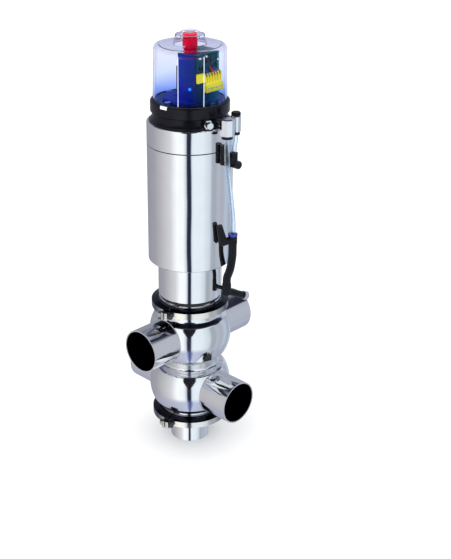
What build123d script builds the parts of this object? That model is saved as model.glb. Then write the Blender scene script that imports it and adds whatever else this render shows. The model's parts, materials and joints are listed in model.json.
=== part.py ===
"""Pneumatic double-seat process valve for 70 x 2 mm pipe.

Units are millimetres, +Z is up.  The origin is the centre of the lower end of the
bottom outlet, on the valve axis.  The upper line runs along X, the lower line
along Y.  Pieces are written one STEP each into parts/.
"""

from build123d import *
import math
import os

# ---- pipework and housings ----
PORT_R = 35.0            # outer radius of a weld stub, 70 mm tube
PORT_WALL = 2.0
PORT_REACH = 110.0       # valve axis to the end of a stub
LOWER_Z = 103.0          # height of the lower line
UPPER_Z = 197.0          # height of the upper line
GLOBE_R = 66.5           # outer radius of the spherical housings
GLOBE_WALL = 3.0
WAIST_R = 44.0           # housing radius at the seat ring
WAIST_DROP = 43.0        # line axis to the housing end at the seat ring
SPHERE_TO_WAIST = 32.0   # height of the spherical zone towards the seat ring
SPHERE_TO_NECK = 28.0    # height of the spherical zone towards the clamp
NECK_R = 50.0            # housing radius under the clamp flange
NECK_RISE = 39.0         # line axis to the straight neck
MOUTH_R = 46.0           # opening at the clamped end

# ---- outlet ----
OUTLET_R = 32.0
OUTLET_WALL = 1.8

# ---- clamped joints ----
LOWER_JOINT_Z = 49.5
UPPER_JOINT_Z = 249.5
FLANGE_R = 56.0
FLANGE_GAP = 0.2         # half of the slit between two flanges
FLANGE_ROOT = 5.8        # flange thickness at its root
FLANGE_RIM = 3.8         # flange thickness at its rim
CLAMP_R = 62.1
CLAMP_HALF_HEIGHT = 8.0
CLAMP_CONE = 3.0         # fall of the conical top and bottom faces
CLAMP_LIP_R = 51.2
CLAMP_LIP_GAP = 5.4      # half of the groove between the lips
CLAMP_HALF_GAP = 1.0
CLAMP_STACK = 6.0        # clamp split plane to the outside of an ear
CLAMP_EAR_OUT = 73.0
CLAMP_EAR_HEIGHT = 12.0
CLAMP_BOLT_CIRCLE = 67.0
CLAMP_BOLT_R = 3.0
CLAMP_EAR_ANGLE = 190.0
GASKET_IN = 47.4
GASKET_OUT = 49.6
GASKET_DEPTH = 2.2

# ---- seats and plugs ----
SEAT_R = 34.0
SEAT_LOW_Z = 140.0
SEAT_TOP_Z = 158.5
SEAT_CONE = 4.0          # height and width of the 45 degree lower seat
LOWER_PLUG_R = 38.5
LOWER_PLUG_FACE_Z = 144.0
CONE_GAP = 0.4           # lower plug below the seat cone, measured upright
DRAIN_R = 17.0
DRAIN_BORE_R = 14.0
DRAIN_LOW_Z = 31.0
UPPER_PLUG_FACE_Z = 149.3
HOLLOW_STEM_R = 14.0
HOLLOW_STEM_BORE_R = 8.5
INNER_STEM_R = 8.0
TOP_STEM_R = 6.0
STEM_TOP_Z = 612.0
AIR_OUT_Z = 423.0        # the stem's air channel opens above the main piston
AIR_IN_Z = 590.0         # and is fed here, in the control head
RUNNING_FIT = 0.06

# ---- stem guides ----
HUB_LIP = 3.0
LOWER_HUB_LOW_Z = 36.0
LOWER_HUB_TOP_Z = 60.0
LOWER_POCKET_R = 21.0
UPPER_HUB_LOW_Z = 240.0
UPPER_HUB_TOP_Z = 276.0
UPPER_POCKET_R = 19.0

# ---- lantern ----
LANTERN_STEP_R = 50.0
LANTERN_STEP_Z = 262.0
LANTERN_R = 50.6
LANTERN_WALL = 4.0
LANTERN_LOW_Z = 267.0

# ---- actuator ----
CYLINDER_R = 65.75
CYLINDER_BORE_R = 63.25
ACTUATOR_LOW_Z = 327.5
BOTTOM_COVER_TOP_Z = 337.0
SEAM_Z = 516.3
SEAM_CHAMFER = 0.8
ACTUATOR_TOP_Z = 551.5
STOP_Z = 420.0           # rim of the partition that stops the main piston
STOP_R = 55.0
PARTITION_LOW_Z = 426.0
PARTITION_TOP_Z = 436.0
TOP_COVER_LOW_Z = 506.0
SEAL_DEPTH = 2.6
PISTON_R = 62.9
MAIN_PISTON_Z = 403.6
MAIN_PISTON_THICK = 16.0
PUSH_PISTON_Z = 492.0
PUSH_PISTON_THICK = 12.0

# ---- control head ----
BASE_R = 61.5
BASE_LOW_Z = 545.0
BASE_WAIST_R = 55.0
BASE_WAIST_Z = 565.0
COLLAR_R = 59.8
COLLAR_LOW_Z = 566.0
COLLAR_TOP_Z = 583.0
HOOD_LOW_Z = 576.0
HOOD_LOW_R = 56.0
HOOD_TOP_R = 53.6
HOOD_SHOULDER_Z = 659.0
HOOD_TOP_Z = 666.0
HOOD_WALL = 2.5
BOSS_R = 21.5
BOSS_TOP_Z = 679.0
DOME_R = 13.0
DOME_TOP_Z = 684.0
HEAD_SCREW_R = 46.0
CORE_BORE_R = 15.5       # free bore in the electronics round the moving rod

# ---- air lines ----
AIR_TUBE_R = 4.0
AIR_TUBE_BORE_R = 2.7
HOSE_R = 6.5
HOSE_BORE_R = 4.5
LINE_R = 79.0            # distance of the air lines from the valve axis
FRONT_LINE_R = 83.0      # the front tube passes outside the seam elbow
STUD_R = 3.2             # threaded end of every air fitting
PORT_LEVEL = 561.0       # air ports of the control head
PORT_STUD_IN = 50.2      # studs start here inside the head base
PORT_SEAT_R = 61.0       # fittings are seated here, just outside the base
SILENCER_ANGLE = 248.0
FRONT_ANGLE = 265.5
REAR_ANGLE = 283.0
GLAND_ANGLE = 45.0
SEAM_ELBOW_ANGLE = 269.0
SEAM_ELBOW_Z = 509.5
SEAM_BODY_R = 72.4
SEAM_SOCKET_ANGLE = 280.0
LOWER_ELBOW_ANGLE = 268.0
LOWER_ELBOW_Z = 374.0
LOWER_SOCKET_ANGLE = 281.0
NECK_ELBOW_ANGLE = 288.0
NECK_ELBOW_Z = 284.0
NECK_ELBOW_R = 65.0
REAR_BODY_TOP_Z = 570.0
RELEASE_LOW_Z = 541.0
RELEASE_TOP_Z = 546.0
SEAM_TUBE_END_Z = 514.0
LOWER_TUBE_END_Z = 384.0
HOSE_TOP_Z = 368.0
HOSE_END_Z = 292.0


def save(piece, name):
    """Label a finished piece and write it."""
    piece.part.label = name
    export_step(piece.part, "parts/" + name + ".step")


def at(angle, radius, height):
    """Point at a polar angle in degrees about the valve axis."""
    turn = math.radians(angle)
    return Vector(radius * math.cos(turn), radius * math.sin(turn), height)


def outward(angle, radius, height):
    """Plane whose normal points away from the axis, its Y axis up."""
    turn = math.radians(angle)
    tangent = Vector(-math.sin(turn), math.cos(turn), 0)
    normal = Vector(math.cos(turn), math.sin(turn), 0)
    return Plane(origin=at(angle, radius, height), x_dir=tangent, z_dir=normal)


def upright(angle, radius, height):
    """Horizontal plane at a polar place, its X axis pointing away from the axis."""
    turn = math.radians(angle)
    along = Vector(math.cos(turn), math.sin(turn), 0)
    return Plane(origin=at(angle, radius, height), x_dir=along, z_dir=Vector(0, 0, 1))


def make_ring(name, inner, outer, low, high):
    """Plain ring about the valve axis."""
    with BuildPart() as ring:
        with BuildSketch(Plane.XY.offset(low)):
            Circle(outer)
            Circle(inner, mode=Mode.SUBTRACT)
        extrude(amount=high - low)
    save(ring, name)


def make_turned(name, points):
    """Piece turned from a closed outline of radius and height pairs."""
    with BuildPart() as turned:
        with BuildSketch(Plane.XZ):
            with BuildLine():
                Polyline(*points, close=True)
            make_face()
        revolve(axis=Axis.Z)
    save(turned, name)


# ------------------------------------------------------------------ housings
def globe_solid(line_z, neck_sign, radius_drop, joint_z):
    """Outer or inner form of a housing; neck_sign is +1 when its clamp is on top."""
    sphere_r = GLOBE_R - radius_drop
    waist_r = WAIST_R - radius_drop
    neck_r = MOUTH_R if radius_drop else NECK_R
    waist_zone_r = math.sqrt(sphere_r ** 2 - SPHERE_TO_WAIST ** 2)
    neck_zone_r = math.sqrt(sphere_r ** 2 - SPHERE_TO_NECK ** 2)

    def level(height):
        return line_z + neck_sign * height

    with BuildPart() as form:
        with BuildSketch(Plane.XZ):
            with BuildLine():
                Line((0, level(-WAIST_DROP)), (waist_r, level(-WAIST_DROP)))
                Spline(
                    (waist_r, level(-WAIST_DROP)),
                    (waist_zone_r, level(-SPHERE_TO_WAIST)),
                    tangents=[(0, neck_sign), (SPHERE_TO_WAIST, neck_sign * waist_zone_r)],
                )
                ThreePointArc(
                    (waist_zone_r, level(-SPHERE_TO_WAIST)),
                    (sphere_r, level(0)),
                    (neck_zone_r, level(SPHERE_TO_NECK)),
                )
                Spline(
                    (neck_zone_r, level(SPHERE_TO_NECK)),
                    (neck_r, level(NECK_RISE)),
                    tangents=[(-SPHERE_TO_NECK, neck_sign * neck_zone_r), (0, neck_sign)],
                )
                Line((neck_r, level(NECK_RISE)), (neck_r, joint_z))
                Line((neck_r, joint_z), (0, joint_z))
                Line((0, joint_z), (0, level(-WAIST_DROP)))
            make_face()
        revolve(axis=Axis.Z)
    return form.part


def make_housing(name, line_z, neck_sign, joint_z, port_plane):
    """Spherical housing with two port openings and one clamp flange."""
    face_z = joint_z - neck_sign * FLANGE_GAP
    outside = globe_solid(line_z, neck_sign, 0.0, face_z)
    inside = globe_solid(line_z, neck_sign, GLOBE_WALL, face_z)
    with BuildPart() as housing:
        add(outside)
        with BuildSketch(Plane.XZ):
            with BuildLine():
                Polyline(
                    (NECK_R - 1, face_z),
                    (FLANGE_R, face_z),
                    (FLANGE_R, joint_z - neck_sign * FLANGE_RIM),
                    (NECK_R, joint_z - neck_sign * FLANGE_ROOT),
                    (NECK_R - 1, joint_z - neck_sign * FLANGE_ROOT),
                    close=True,
                )
            make_face()
        revolve(axis=Axis.Z)
        add(inside, mode=Mode.SUBTRACT)
        with BuildSketch(port_plane):
            Circle(PORT_R - PORT_WALL)
        extrude(amount=PORT_REACH, both=True, mode=Mode.SUBTRACT)
    save(housing, name)


def make_ports(name, line_z, neck_sign, joint_z, angles):
    """Pair of weld stubs that meet the outside of their housing."""
    outside = globe_solid(line_z, neck_sign, 0.0, joint_z)
    with BuildPart() as ports:
        for angle in angles:
            with BuildSketch(outward(angle, PORT_REACH, line_z)):
                Circle(PORT_R)
                Circle(PORT_R - PORT_WALL, mode=Mode.SUBTRACT)
            extrude(amount=-(PORT_REACH - 40.0))
        add(outside, mode=Mode.SUBTRACT)
    save(ports, name)


def make_seat_ring():
    """Ring between the housings, with the conical lower seat and the upper bore."""
    spigot = WAIST_R - GLOBE_WALL
    low = SEAT_LOW_Z
    high = SEAT_TOP_Z
    step_low = LOWER_Z + WAIST_DROP
    step_high = UPPER_Z - WAIST_DROP
    outline = [
        (SEAT_R + SEAT_CONE, low),
        (spigot, low),
        (spigot, step_low),
        (WAIST_R + 2.0, step_low),
        (WAIST_R + 2.0, step_high),
        (spigot, step_high),
        (spigot, high),
        (SEAT_R, high),
        (SEAT_R, low + SEAT_CONE),
    ]
    make_turned("seat_ring", outline)


def make_lower_cover():
    """Bottom flange with the guide hub and the outlet tube."""
    face_z = LOWER_JOINT_Z - FLANGE_GAP
    hub_r = 26.0
    hub_low = LOWER_HUB_LOW_Z
    hub_top = LOWER_HUB_TOP_Z
    pocket_r = LOWER_POCKET_R
    outline = [
        (DRAIN_R + 1.0, hub_low),
        (hub_r, hub_low),
        (hub_r, LOWER_JOINT_Z - FLANGE_ROOT - 2.0),
        (OUTLET_R - OUTLET_WALL, LOWER_JOINT_Z - FLANGE_ROOT - 2.0),
        (OUTLET_R - OUTLET_WALL, 0),
        (OUTLET_R, 0),
        (OUTLET_R, LOWER_JOINT_Z - FLANGE_ROOT - 4.0),
        (NECK_R, LOWER_JOINT_Z - FLANGE_ROOT),
        (FLANGE_R, LOWER_JOINT_Z - FLANGE_RIM),
        (FLANGE_R, face_z),
        (GASKET_OUT, face_z),
        (GASKET_OUT, face_z - GASKET_DEPTH),
        (GASKET_IN, face_z - GASKET_DEPTH),
        (GASKET_IN, face_z),
        (MOUTH_R - 0.3, face_z),
        (MOUTH_R - 0.3, face_z + 4.0),
        (hub_r, face_z + 4.0),
        (hub_r, hub_top),
        (pocket_r, hub_top),
        (pocket_r, hub_low + HUB_LIP),
        (DRAIN_R + 1.0, hub_low + HUB_LIP),
    ]
    make_turned("lower_cover", outline)


# ------------------------------------------------------------------ clamps
def make_clamp(name, joint_z):
    """Two clamp halves with ears at both ends."""
    ear_in = CLAMP_R - 3.0
    ear_mid = (ear_in + CLAMP_EAR_OUT) / 2
    section = [
        (CLAMP_LIP_R, CLAMP_HALF_HEIGHT),
        (CLAMP_LIP_R + 1.5, CLAMP_HALF_HEIGHT),
        (CLAMP_R, CLAMP_HALF_HEIGHT - CLAMP_CONE),
        (CLAMP_R, CLAMP_CONE - CLAMP_HALF_HEIGHT),
        (CLAMP_LIP_R + 1.5, -CLAMP_HALF_HEIGHT),
        (CLAMP_LIP_R, -CLAMP_HALF_HEIGHT),
        (CLAMP_LIP_R, -CLAMP_LIP_GAP),
        (FLANGE_R, -FLANGE_RIM),
        (FLANGE_R + 1.0, -FLANGE_RIM),
        (FLANGE_R + 1.0, FLANGE_RIM),
        (FLANGE_R, FLANGE_RIM),
        (CLAMP_LIP_R, CLAMP_LIP_GAP),
    ]
    across = clamp_plane(joint_z)
    with BuildPart() as clamp:
        with BuildSketch(Plane.XZ):
            with BuildLine():
                Polyline(*[(r, joint_z + z) for r, z in section], close=True)
            make_face()
        revolve(axis=Axis.Z)
        with BuildSketch(across.offset(-CLAMP_EAR_HEIGHT / 2)):
            with Locations((ear_mid, 0), (-ear_mid, 0)):
                RectangleRounded(CLAMP_EAR_OUT - ear_in, 2 * CLAMP_STACK, 2.0)
        extrude(amount=CLAMP_EAR_HEIGHT)
        with BuildSketch(across.offset(-CLAMP_HALF_HEIGHT)):
            Rectangle(4 * CLAMP_R, 2 * CLAMP_HALF_GAP)
        extrude(amount=2 * CLAMP_HALF_HEIGHT, mode=Mode.SUBTRACT)
        for end in (1, -1):
            with BuildSketch(bolt_side(across, end * CLAMP_BOLT_CIRCLE, 0)):
                Circle(CLAMP_BOLT_R)
            extrude(amount=20, both=True, mode=Mode.SUBTRACT)
    save(clamp, name)


def make_clamp_fasteners():
    """The four bolts and four nuts of the two clamps."""
    head_r = 5.6
    head_thick = 5.0
    spots = [
        (clamp_plane(joint_z), end * CLAMP_BOLT_CIRCLE)
        for joint_z in (LOWER_JOINT_Z, UPPER_JOINT_Z)
        for end in (1, -1)
    ]
    with BuildPart() as clamp_bolts:
        for across, radius in spots:
            with BuildSketch(bolt_side(across, radius, CLAMP_STACK)):
                RegularPolygon(head_r, 6)
            extrude(amount=head_thick)
            with BuildSketch(bolt_side(across, radius, CLAMP_STACK)):
                Circle(CLAMP_BOLT_R)
            extrude(amount=-(2 * CLAMP_STACK + head_thick + 1.5))
    save(clamp_bolts, "clamp_bolts")
    with BuildPart() as clamp_nuts:
        for across, radius in spots:
            with BuildSketch(bolt_side(across, radius, -CLAMP_STACK)):
                RegularPolygon(head_r, 6)
                Circle(CLAMP_BOLT_R, mode=Mode.SUBTRACT)
            extrude(amount=-head_thick)
    save(clamp_nuts, "clamp_nuts")


def clamp_plane(joint_z):
    """Mid plane of a clamp, its X axis through the ears."""
    return Plane(origin=(0, 0, joint_z), x_dir=at(CLAMP_EAR_ANGLE, 1, 0), z_dir=Vector(0, 0, 1))


def bolt_side(across, radius, shift):
    """Plane across a clamp bolt, its normal along the bolt."""
    origin = across.from_local_coords(Vector(radius, shift, 0))
    return Plane(origin=origin, x_dir=Vector(0, 0, 1), z_dir=across.y_dir)


# ------------------------------------------------------------------ moving plugs
def make_lower_plug():
    """Lower closure: conical head, drain tube and the long inner stem."""
    head_low = LOWER_PLUG_FACE_Z - 15.0
    cone = SEAT_R + SEAT_LOW_Z + SEAT_CONE - CONE_GAP
    seal_in = 34.6
    seal_low = 140.8
    seal_proud = 0.25
    outline = [
        (0, head_low + 5.0),
        (DRAIN_BORE_R, head_low + 5.0),
        (DRAIN_BORE_R, DRAIN_LOW_Z),
        (DRAIN_R, DRAIN_LOW_Z),
        (DRAIN_R, head_low - 12.0),
        (LOWER_PLUG_R - 6.0, head_low),
        (LOWER_PLUG_R, head_low + 3.0),
        (LOWER_PLUG_R, cone - LOWER_PLUG_R),
        (cone - seal_low, seal_low),
        (seal_in, seal_low),
        (seal_in, cone - seal_in),
        (cone - LOWER_PLUG_FACE_Z, LOWER_PLUG_FACE_Z),
        (INNER_STEM_R + 3.0, LOWER_PLUG_FACE_Z),
        (INNER_STEM_R, LOWER_PLUG_FACE_Z + 3.0),
        (INNER_STEM_R, PUSH_PISTON_Z),
        (TOP_STEM_R, PUSH_PISTON_Z),
        (TOP_STEM_R, STEM_TOP_Z),
        (0, STEM_TOP_Z),
    ]
    with BuildPart() as lower_plug:
        with BuildSketch(Plane.XZ):
            with BuildLine():
                Polyline(*outline, close=True)
            make_face()
        revolve(axis=Axis.Z)
        with BuildSketch(Plane.XY.offset(head_low)):
            with PolarLocations(12.0, 6):
                Circle(1.9)
        extrude(amount=18.0, mode=Mode.SUBTRACT)
        with BuildSketch(Plane.XY.offset(AIR_OUT_Z)):
            Circle(2.0)
        extrude(amount=AIR_IN_Z - AIR_OUT_Z, mode=Mode.SUBTRACT)
        with BuildSketch(outward(SEAM_ELBOW_ANGLE, 0, AIR_OUT_Z)):
            Circle(0.9)
        extrude(amount=12.0, both=True, mode=Mode.SUBTRACT)
        with BuildSketch(outward(SEAM_ELBOW_ANGLE, 0, AIR_IN_Z)):
            Circle(1.5)
        extrude(amount=12.0, both=True, mode=Mode.SUBTRACT)
    save(lower_plug, "lower_plug")
    outline = [
        (seal_in, seal_low),
        (cone + seal_proud - seal_low, seal_low),
        (seal_in, cone + seal_proud - seal_in),
    ]
    make_turned("lower_plug_seal", outline)


def make_push_piston():
    """Spring plate and piston on the inner stem."""
    low = PUSH_PISTON_Z
    high = PUSH_PISTON_Z + PUSH_PISTON_THICK
    nut_r = 13.0
    groove_low = low + 5.0
    groove_high = low + 9.0
    outline = [
        (TOP_STEM_R, low),
        (36.0, low),
        (36.0, low + 3.0),
        (44.5, low + 3.0),
        (44.5, low),
        (PISTON_R, low),
        (PISTON_R, groove_low),
        (PISTON_R - 3.0, groove_low),
        (PISTON_R - 3.0, groove_high),
        (PISTON_R, groove_high),
        (PISTON_R, high),
        (nut_r + 1.0, high),
        (nut_r + 1.0, high - 7.0),
        (TOP_STEM_R, high - 7.0),
    ]
    make_turned("push_piston", outline)
    make_ring("push_piston_seal", PISTON_R - 3.0, CYLINDER_BORE_R - RUNNING_FIT, groove_low, groove_high)
    with BuildPart() as stem_nut:
        with BuildSketch(Plane.XY.offset(high - 7.0)):
            RegularPolygon(nut_r, 6)
            Circle(TOP_STEM_R, mode=Mode.SUBTRACT)
        extrude(amount=6.5)
    save(stem_nut, "stem_nut")


def make_indicator():
    """Position target on the inner stem and the red indicator above it."""
    make_ring("position_target", TOP_STEM_R, 12.0, STEM_TOP_Z - 16.0, STEM_TOP_Z - 6.0)
    outline = [
        (0, STEM_TOP_Z),
        (TOP_STEM_R, STEM_TOP_Z),
        (TOP_STEM_R, 646.0),
        (11.0, 659.0),
        (11.0, 679.0),
        (10.0, 680.0),
        (0, 680.0),
    ]
    make_turned("red_indicator", outline)


def make_upper_plug():
    """Upper closure with radial seal, hollow stem and the main piston."""
    face = UPPER_PLUG_FACE_Z
    seal_low = face + 2.5
    seal_high = face + 6.0
    piston_top = MAIN_PISTON_Z + MAIN_PISTON_THICK
    thread_r = 12.0
    outline = [
        (HOLLOW_STEM_BORE_R, face + 3.6),
        (HOLLOW_STEM_BORE_R + 3.6, face),
        (SEAT_R - 1.0, face),
        (SEAT_R - 0.4, face + 0.6),
        (SEAT_R - 0.4, seal_low),
        (SEAT_R - 3.0, seal_low),
        (SEAT_R - 3.0, seal_high),
        (SEAT_R - 0.4, seal_high),
        (SEAT_R - 0.4, face + 10.0),
        (HOLLOW_STEM_R + 4.0, face + 17.0),
        (HOLLOW_STEM_R, face + 25.0),
        (HOLLOW_STEM_R, MAIN_PISTON_Z),
        (thread_r, MAIN_PISTON_Z),
        (thread_r, piston_top - 0.5),
        (HOLLOW_STEM_BORE_R, piston_top - 0.5),
    ]
    make_turned("upper_plug", outline)
    make_ring("upper_plug_seal", SEAT_R - 3.0, SEAT_R - RUNNING_FIT, seal_low, seal_high)

    groove_low = MAIN_PISTON_Z + 8.0
    groove_high = groove_low + 4.0
    nut_r = 19.0
    outline = [
        (thread_r, MAIN_PISTON_Z),
        (39.5, MAIN_PISTON_Z),
        (39.5, MAIN_PISTON_Z + 4.0),
        (50.5, MAIN_PISTON_Z + 4.0),
        (50.5, MAIN_PISTON_Z),
        (PISTON_R, MAIN_PISTON_Z),
        (PISTON_R, groove_low),
        (PISTON_R - 3.0, groove_low),
        (PISTON_R - 3.0, groove_high),
        (PISTON_R, groove_high),
        (PISTON_R, piston_top),
        (nut_r + 1.0, piston_top),
        (nut_r + 1.0, piston_top - 8.0),
        (thread_r, piston_top - 8.0),
    ]
    make_turned("main_piston", outline)
    make_ring("main_piston_seal", PISTON_R - 3.0, CYLINDER_BORE_R - RUNNING_FIT, groove_low, groove_high)
    with BuildPart() as piston_nut:
        with BuildSketch(Plane.XY.offset(piston_top - 8.0)):
            RegularPolygon(nut_r, 6)
            Circle(thread_r, mode=Mode.SUBTRACT)
        extrude(amount=7.4)
    save(piston_nut, "piston_nut")


# ------------------------------------------------------------------ lantern and actuator
def make_lantern():
    """Closed neck between the upper housing and the actuator."""
    face_z = UPPER_JOINT_Z + FLANGE_GAP
    bore_r = LANTERN_R - LANTERN_WALL
    hub_r = 25.0
    pocket_r = UPPER_POCKET_R
    hub_top = UPPER_HUB_TOP_Z
    hub_low = UPPER_HUB_LOW_Z
    outline = [
        (HOLLOW_STEM_R + 0.8, hub_low),
        (MOUTH_R - 0.3, hub_low),
        (MOUTH_R - 0.3, face_z),
        (GASKET_IN, face_z),
        (GASKET_IN, face_z + GASKET_DEPTH),
        (GASKET_OUT, face_z + GASKET_DEPTH),
        (GASKET_OUT, face_z),
        (FLANGE_R, face_z),
        (FLANGE_R, UPPER_JOINT_Z + FLANGE_RIM),
        (LANTERN_STEP_R, UPPER_JOINT_Z + FLANGE_ROOT),
        (LANTERN_STEP_R, LANTERN_STEP_Z - 1.0),
        (LANTERN_STEP_R - 1.0, LANTERN_STEP_Z),
        (LANTERN_R - 3.0, LANTERN_STEP_Z),
        (LANTERN_R - 3.0, LANTERN_LOW_Z - 2.5),
        (LANTERN_R, LANTERN_LOW_Z),
        (LANTERN_R, ACTUATOR_LOW_Z),
        (bore_r, ACTUATOR_LOW_Z),
        (bore_r, LANTERN_STEP_Z),
        (hub_r, LANTERN_STEP_Z),
        (hub_r, hub_top),
        (pocket_r, hub_top),
        (pocket_r, hub_low + HUB_LIP),
        (HOLLOW_STEM_R + 0.8, hub_low + HUB_LIP),
    ]
    with BuildPart() as lantern:
        with BuildSketch(Plane.XZ):
            with BuildLine():
                Polyline(*outline, close=True)
            make_face()
        revolve(axis=Axis.Z)
        for angle in (20.0, 70.0):
            with BuildSketch(outward(angle, 0, LANTERN_LOW_Z + 8.0)):
                Circle(4.0)
            extrude(amount=LANTERN_R + 5.0, mode=Mode.SUBTRACT)
        with BuildSketch(outward(NECK_ELBOW_ANGLE, 0, NECK_ELBOW_Z)):
            Circle(STUD_R)
        extrude(amount=LANTERN_R + 5.0, mode=Mode.SUBTRACT)
    save(lantern, "lantern")


def make_flange_gaskets():
    """Profile gaskets of the two clamped joints."""
    with BuildPart() as flange_gaskets:
        for low in (LOWER_JOINT_Z - FLANGE_GAP - GASKET_DEPTH, UPPER_JOINT_Z - FLANGE_GAP):
            with BuildSketch(Plane.XY.offset(low)):
                Circle(GASKET_OUT)
                Circle(GASKET_IN, mode=Mode.SUBTRACT)
            extrude(amount=GASKET_DEPTH + 2 * FLANGE_GAP)
    save(flange_gaskets, "flange_gaskets")


def make_stem_guides():
    """Guide bushes and lip seals round the drain tube and the hollow stem."""
    lower_floor = LOWER_HUB_LOW_Z + HUB_LIP
    upper_floor = UPPER_HUB_LOW_Z + HUB_LIP
    with BuildPart() as guide_bushes:
        with BuildSketch(Plane.XY.offset(lower_floor)):
            Circle(LOWER_POCKET_R)
            Circle(DRAIN_R + RUNNING_FIT, mode=Mode.SUBTRACT)
        extrude(amount=LOWER_HUB_TOP_Z - 8.0 - lower_floor)
        with BuildSketch(Plane.XY.offset(upper_floor + 7.5)):
            Circle(UPPER_POCKET_R)
            Circle(HOLLOW_STEM_R + RUNNING_FIT, mode=Mode.SUBTRACT)
        extrude(amount=UPPER_HUB_TOP_Z - 1.0 - upper_floor - 7.5)
    save(guide_bushes, "guide_bushes")
    with BuildPart() as lip_seals:
        with BuildSketch(Plane.XY.offset(LOWER_HUB_TOP_Z - 7.5)):
            Circle(LOWER_POCKET_R)
            Circle(DRAIN_R + RUNNING_FIT, mode=Mode.SUBTRACT)
        extrude(amount=6.5)
        with BuildSketch(Plane.XY.offset(upper_floor)):
            Circle(UPPER_POCKET_R)
            Circle(HOLLOW_STEM_R + RUNNING_FIT, mode=Mode.SUBTRACT)
        extrude(amount=7.0)
    save(lip_seals, "lip_seals")


def make_bottom_cover():
    """Lower end of the actuator, with the guide for the hollow stem."""
    rim_top = ACTUATOR_LOW_Z + 3.5
    outline = [
        (HOLLOW_STEM_R + RUNNING_FIT, ACTUATOR_LOW_Z - 8.0),
        (24.0, ACTUATOR_LOW_Z - 8.0),
        (24.0, ACTUATOR_LOW_Z),
        (CYLINDER_R - 1.2, ACTUATOR_LOW_Z),
        (CYLINDER_R, ACTUATOR_LOW_Z + 1.2),
        (CYLINDER_R, rim_top),
        (CYLINDER_BORE_R, rim_top),
        (CYLINDER_BORE_R, BOTTOM_COVER_TOP_Z),
        (HOLLOW_STEM_R + RUNNING_FIT, BOTTOM_COVER_TOP_Z),
    ]
    make_turned("actuator_bottom_cover", outline)


def make_cylinder():
    """Actuator tube with the two air ports in its side."""
    low = ACTUATOR_LOW_Z + 3.5
    with BuildPart() as cylinder:
        with BuildSketch(Plane.XY.offset(low)):
            Circle(CYLINDER_R)
            Circle(CYLINDER_BORE_R, mode=Mode.SUBTRACT)
        extrude(amount=SEAM_Z - low)
        top_edges = cylinder.edges().filter_by(GeomType.CIRCLE).group_by(Axis.Z)[-1]
        chamfer(top_edges.sort_by(SortBy.RADIUS)[-1], length=SEAM_CHAMFER)
        with BuildSketch(outward(LOWER_ELBOW_ANGLE, 0, LOWER_ELBOW_Z)):
            Circle(STUD_R)
        extrude(amount=CYLINDER_R + 5.0, mode=Mode.SUBTRACT)
        with BuildSketch(outward(SEAM_ELBOW_ANGLE, 0, SEAM_ELBOW_Z)):
            Circle(STUD_R)
        extrude(amount=CYLINDER_R + 5.0, mode=Mode.SUBTRACT)
    save(cylinder, "actuator_cylinder")


def make_partition():
    """Fixed wall between the two air chambers, and the fixed seals of the cylinder."""
    stem_seal_r = INNER_STEM_R + 4.0
    stem_bore = INNER_STEM_R + RUNNING_FIT
    mid = (PARTITION_LOW_Z + PARTITION_TOP_Z) / 2
    groove = 1.8
    outline = [
        (stem_bore, PARTITION_LOW_Z),
        (STOP_R, PARTITION_LOW_Z),
        (STOP_R, STOP_Z),
        (CYLINDER_BORE_R, STOP_Z),
        (CYLINDER_BORE_R, mid - groove),
        (CYLINDER_BORE_R - SEAL_DEPTH, mid - groove),
        (CYLINDER_BORE_R - SEAL_DEPTH, mid + groove),
        (CYLINDER_BORE_R, mid + groove),
        (CYLINDER_BORE_R, PARTITION_TOP_Z),
        (stem_bore, PARTITION_TOP_Z),
        (stem_bore, mid + groove),
        (stem_seal_r, mid + groove),
        (stem_seal_r, mid - groove),
        (stem_bore, mid - groove),
    ]
    make_turned("partition_wall", outline)
    with BuildPart() as cylinder_seals:
        with BuildSketch(Plane.XY.offset(mid - groove)):
            Circle(CYLINDER_BORE_R)
            Circle(CYLINDER_BORE_R - SEAL_DEPTH, mode=Mode.SUBTRACT)
            Circle(stem_seal_r)
            Circle(stem_bore, mode=Mode.SUBTRACT)
        extrude(amount=2 * groove)
        with BuildSketch(Plane.XY.offset(SEAM_Z - 3.2)):
            Circle(CYLINDER_BORE_R)
            Circle(CYLINDER_BORE_R - SEAL_DEPTH, mode=Mode.SUBTRACT)
        extrude(amount=2.4)
    save(cylinder_seals, "cylinder_seals")


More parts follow.
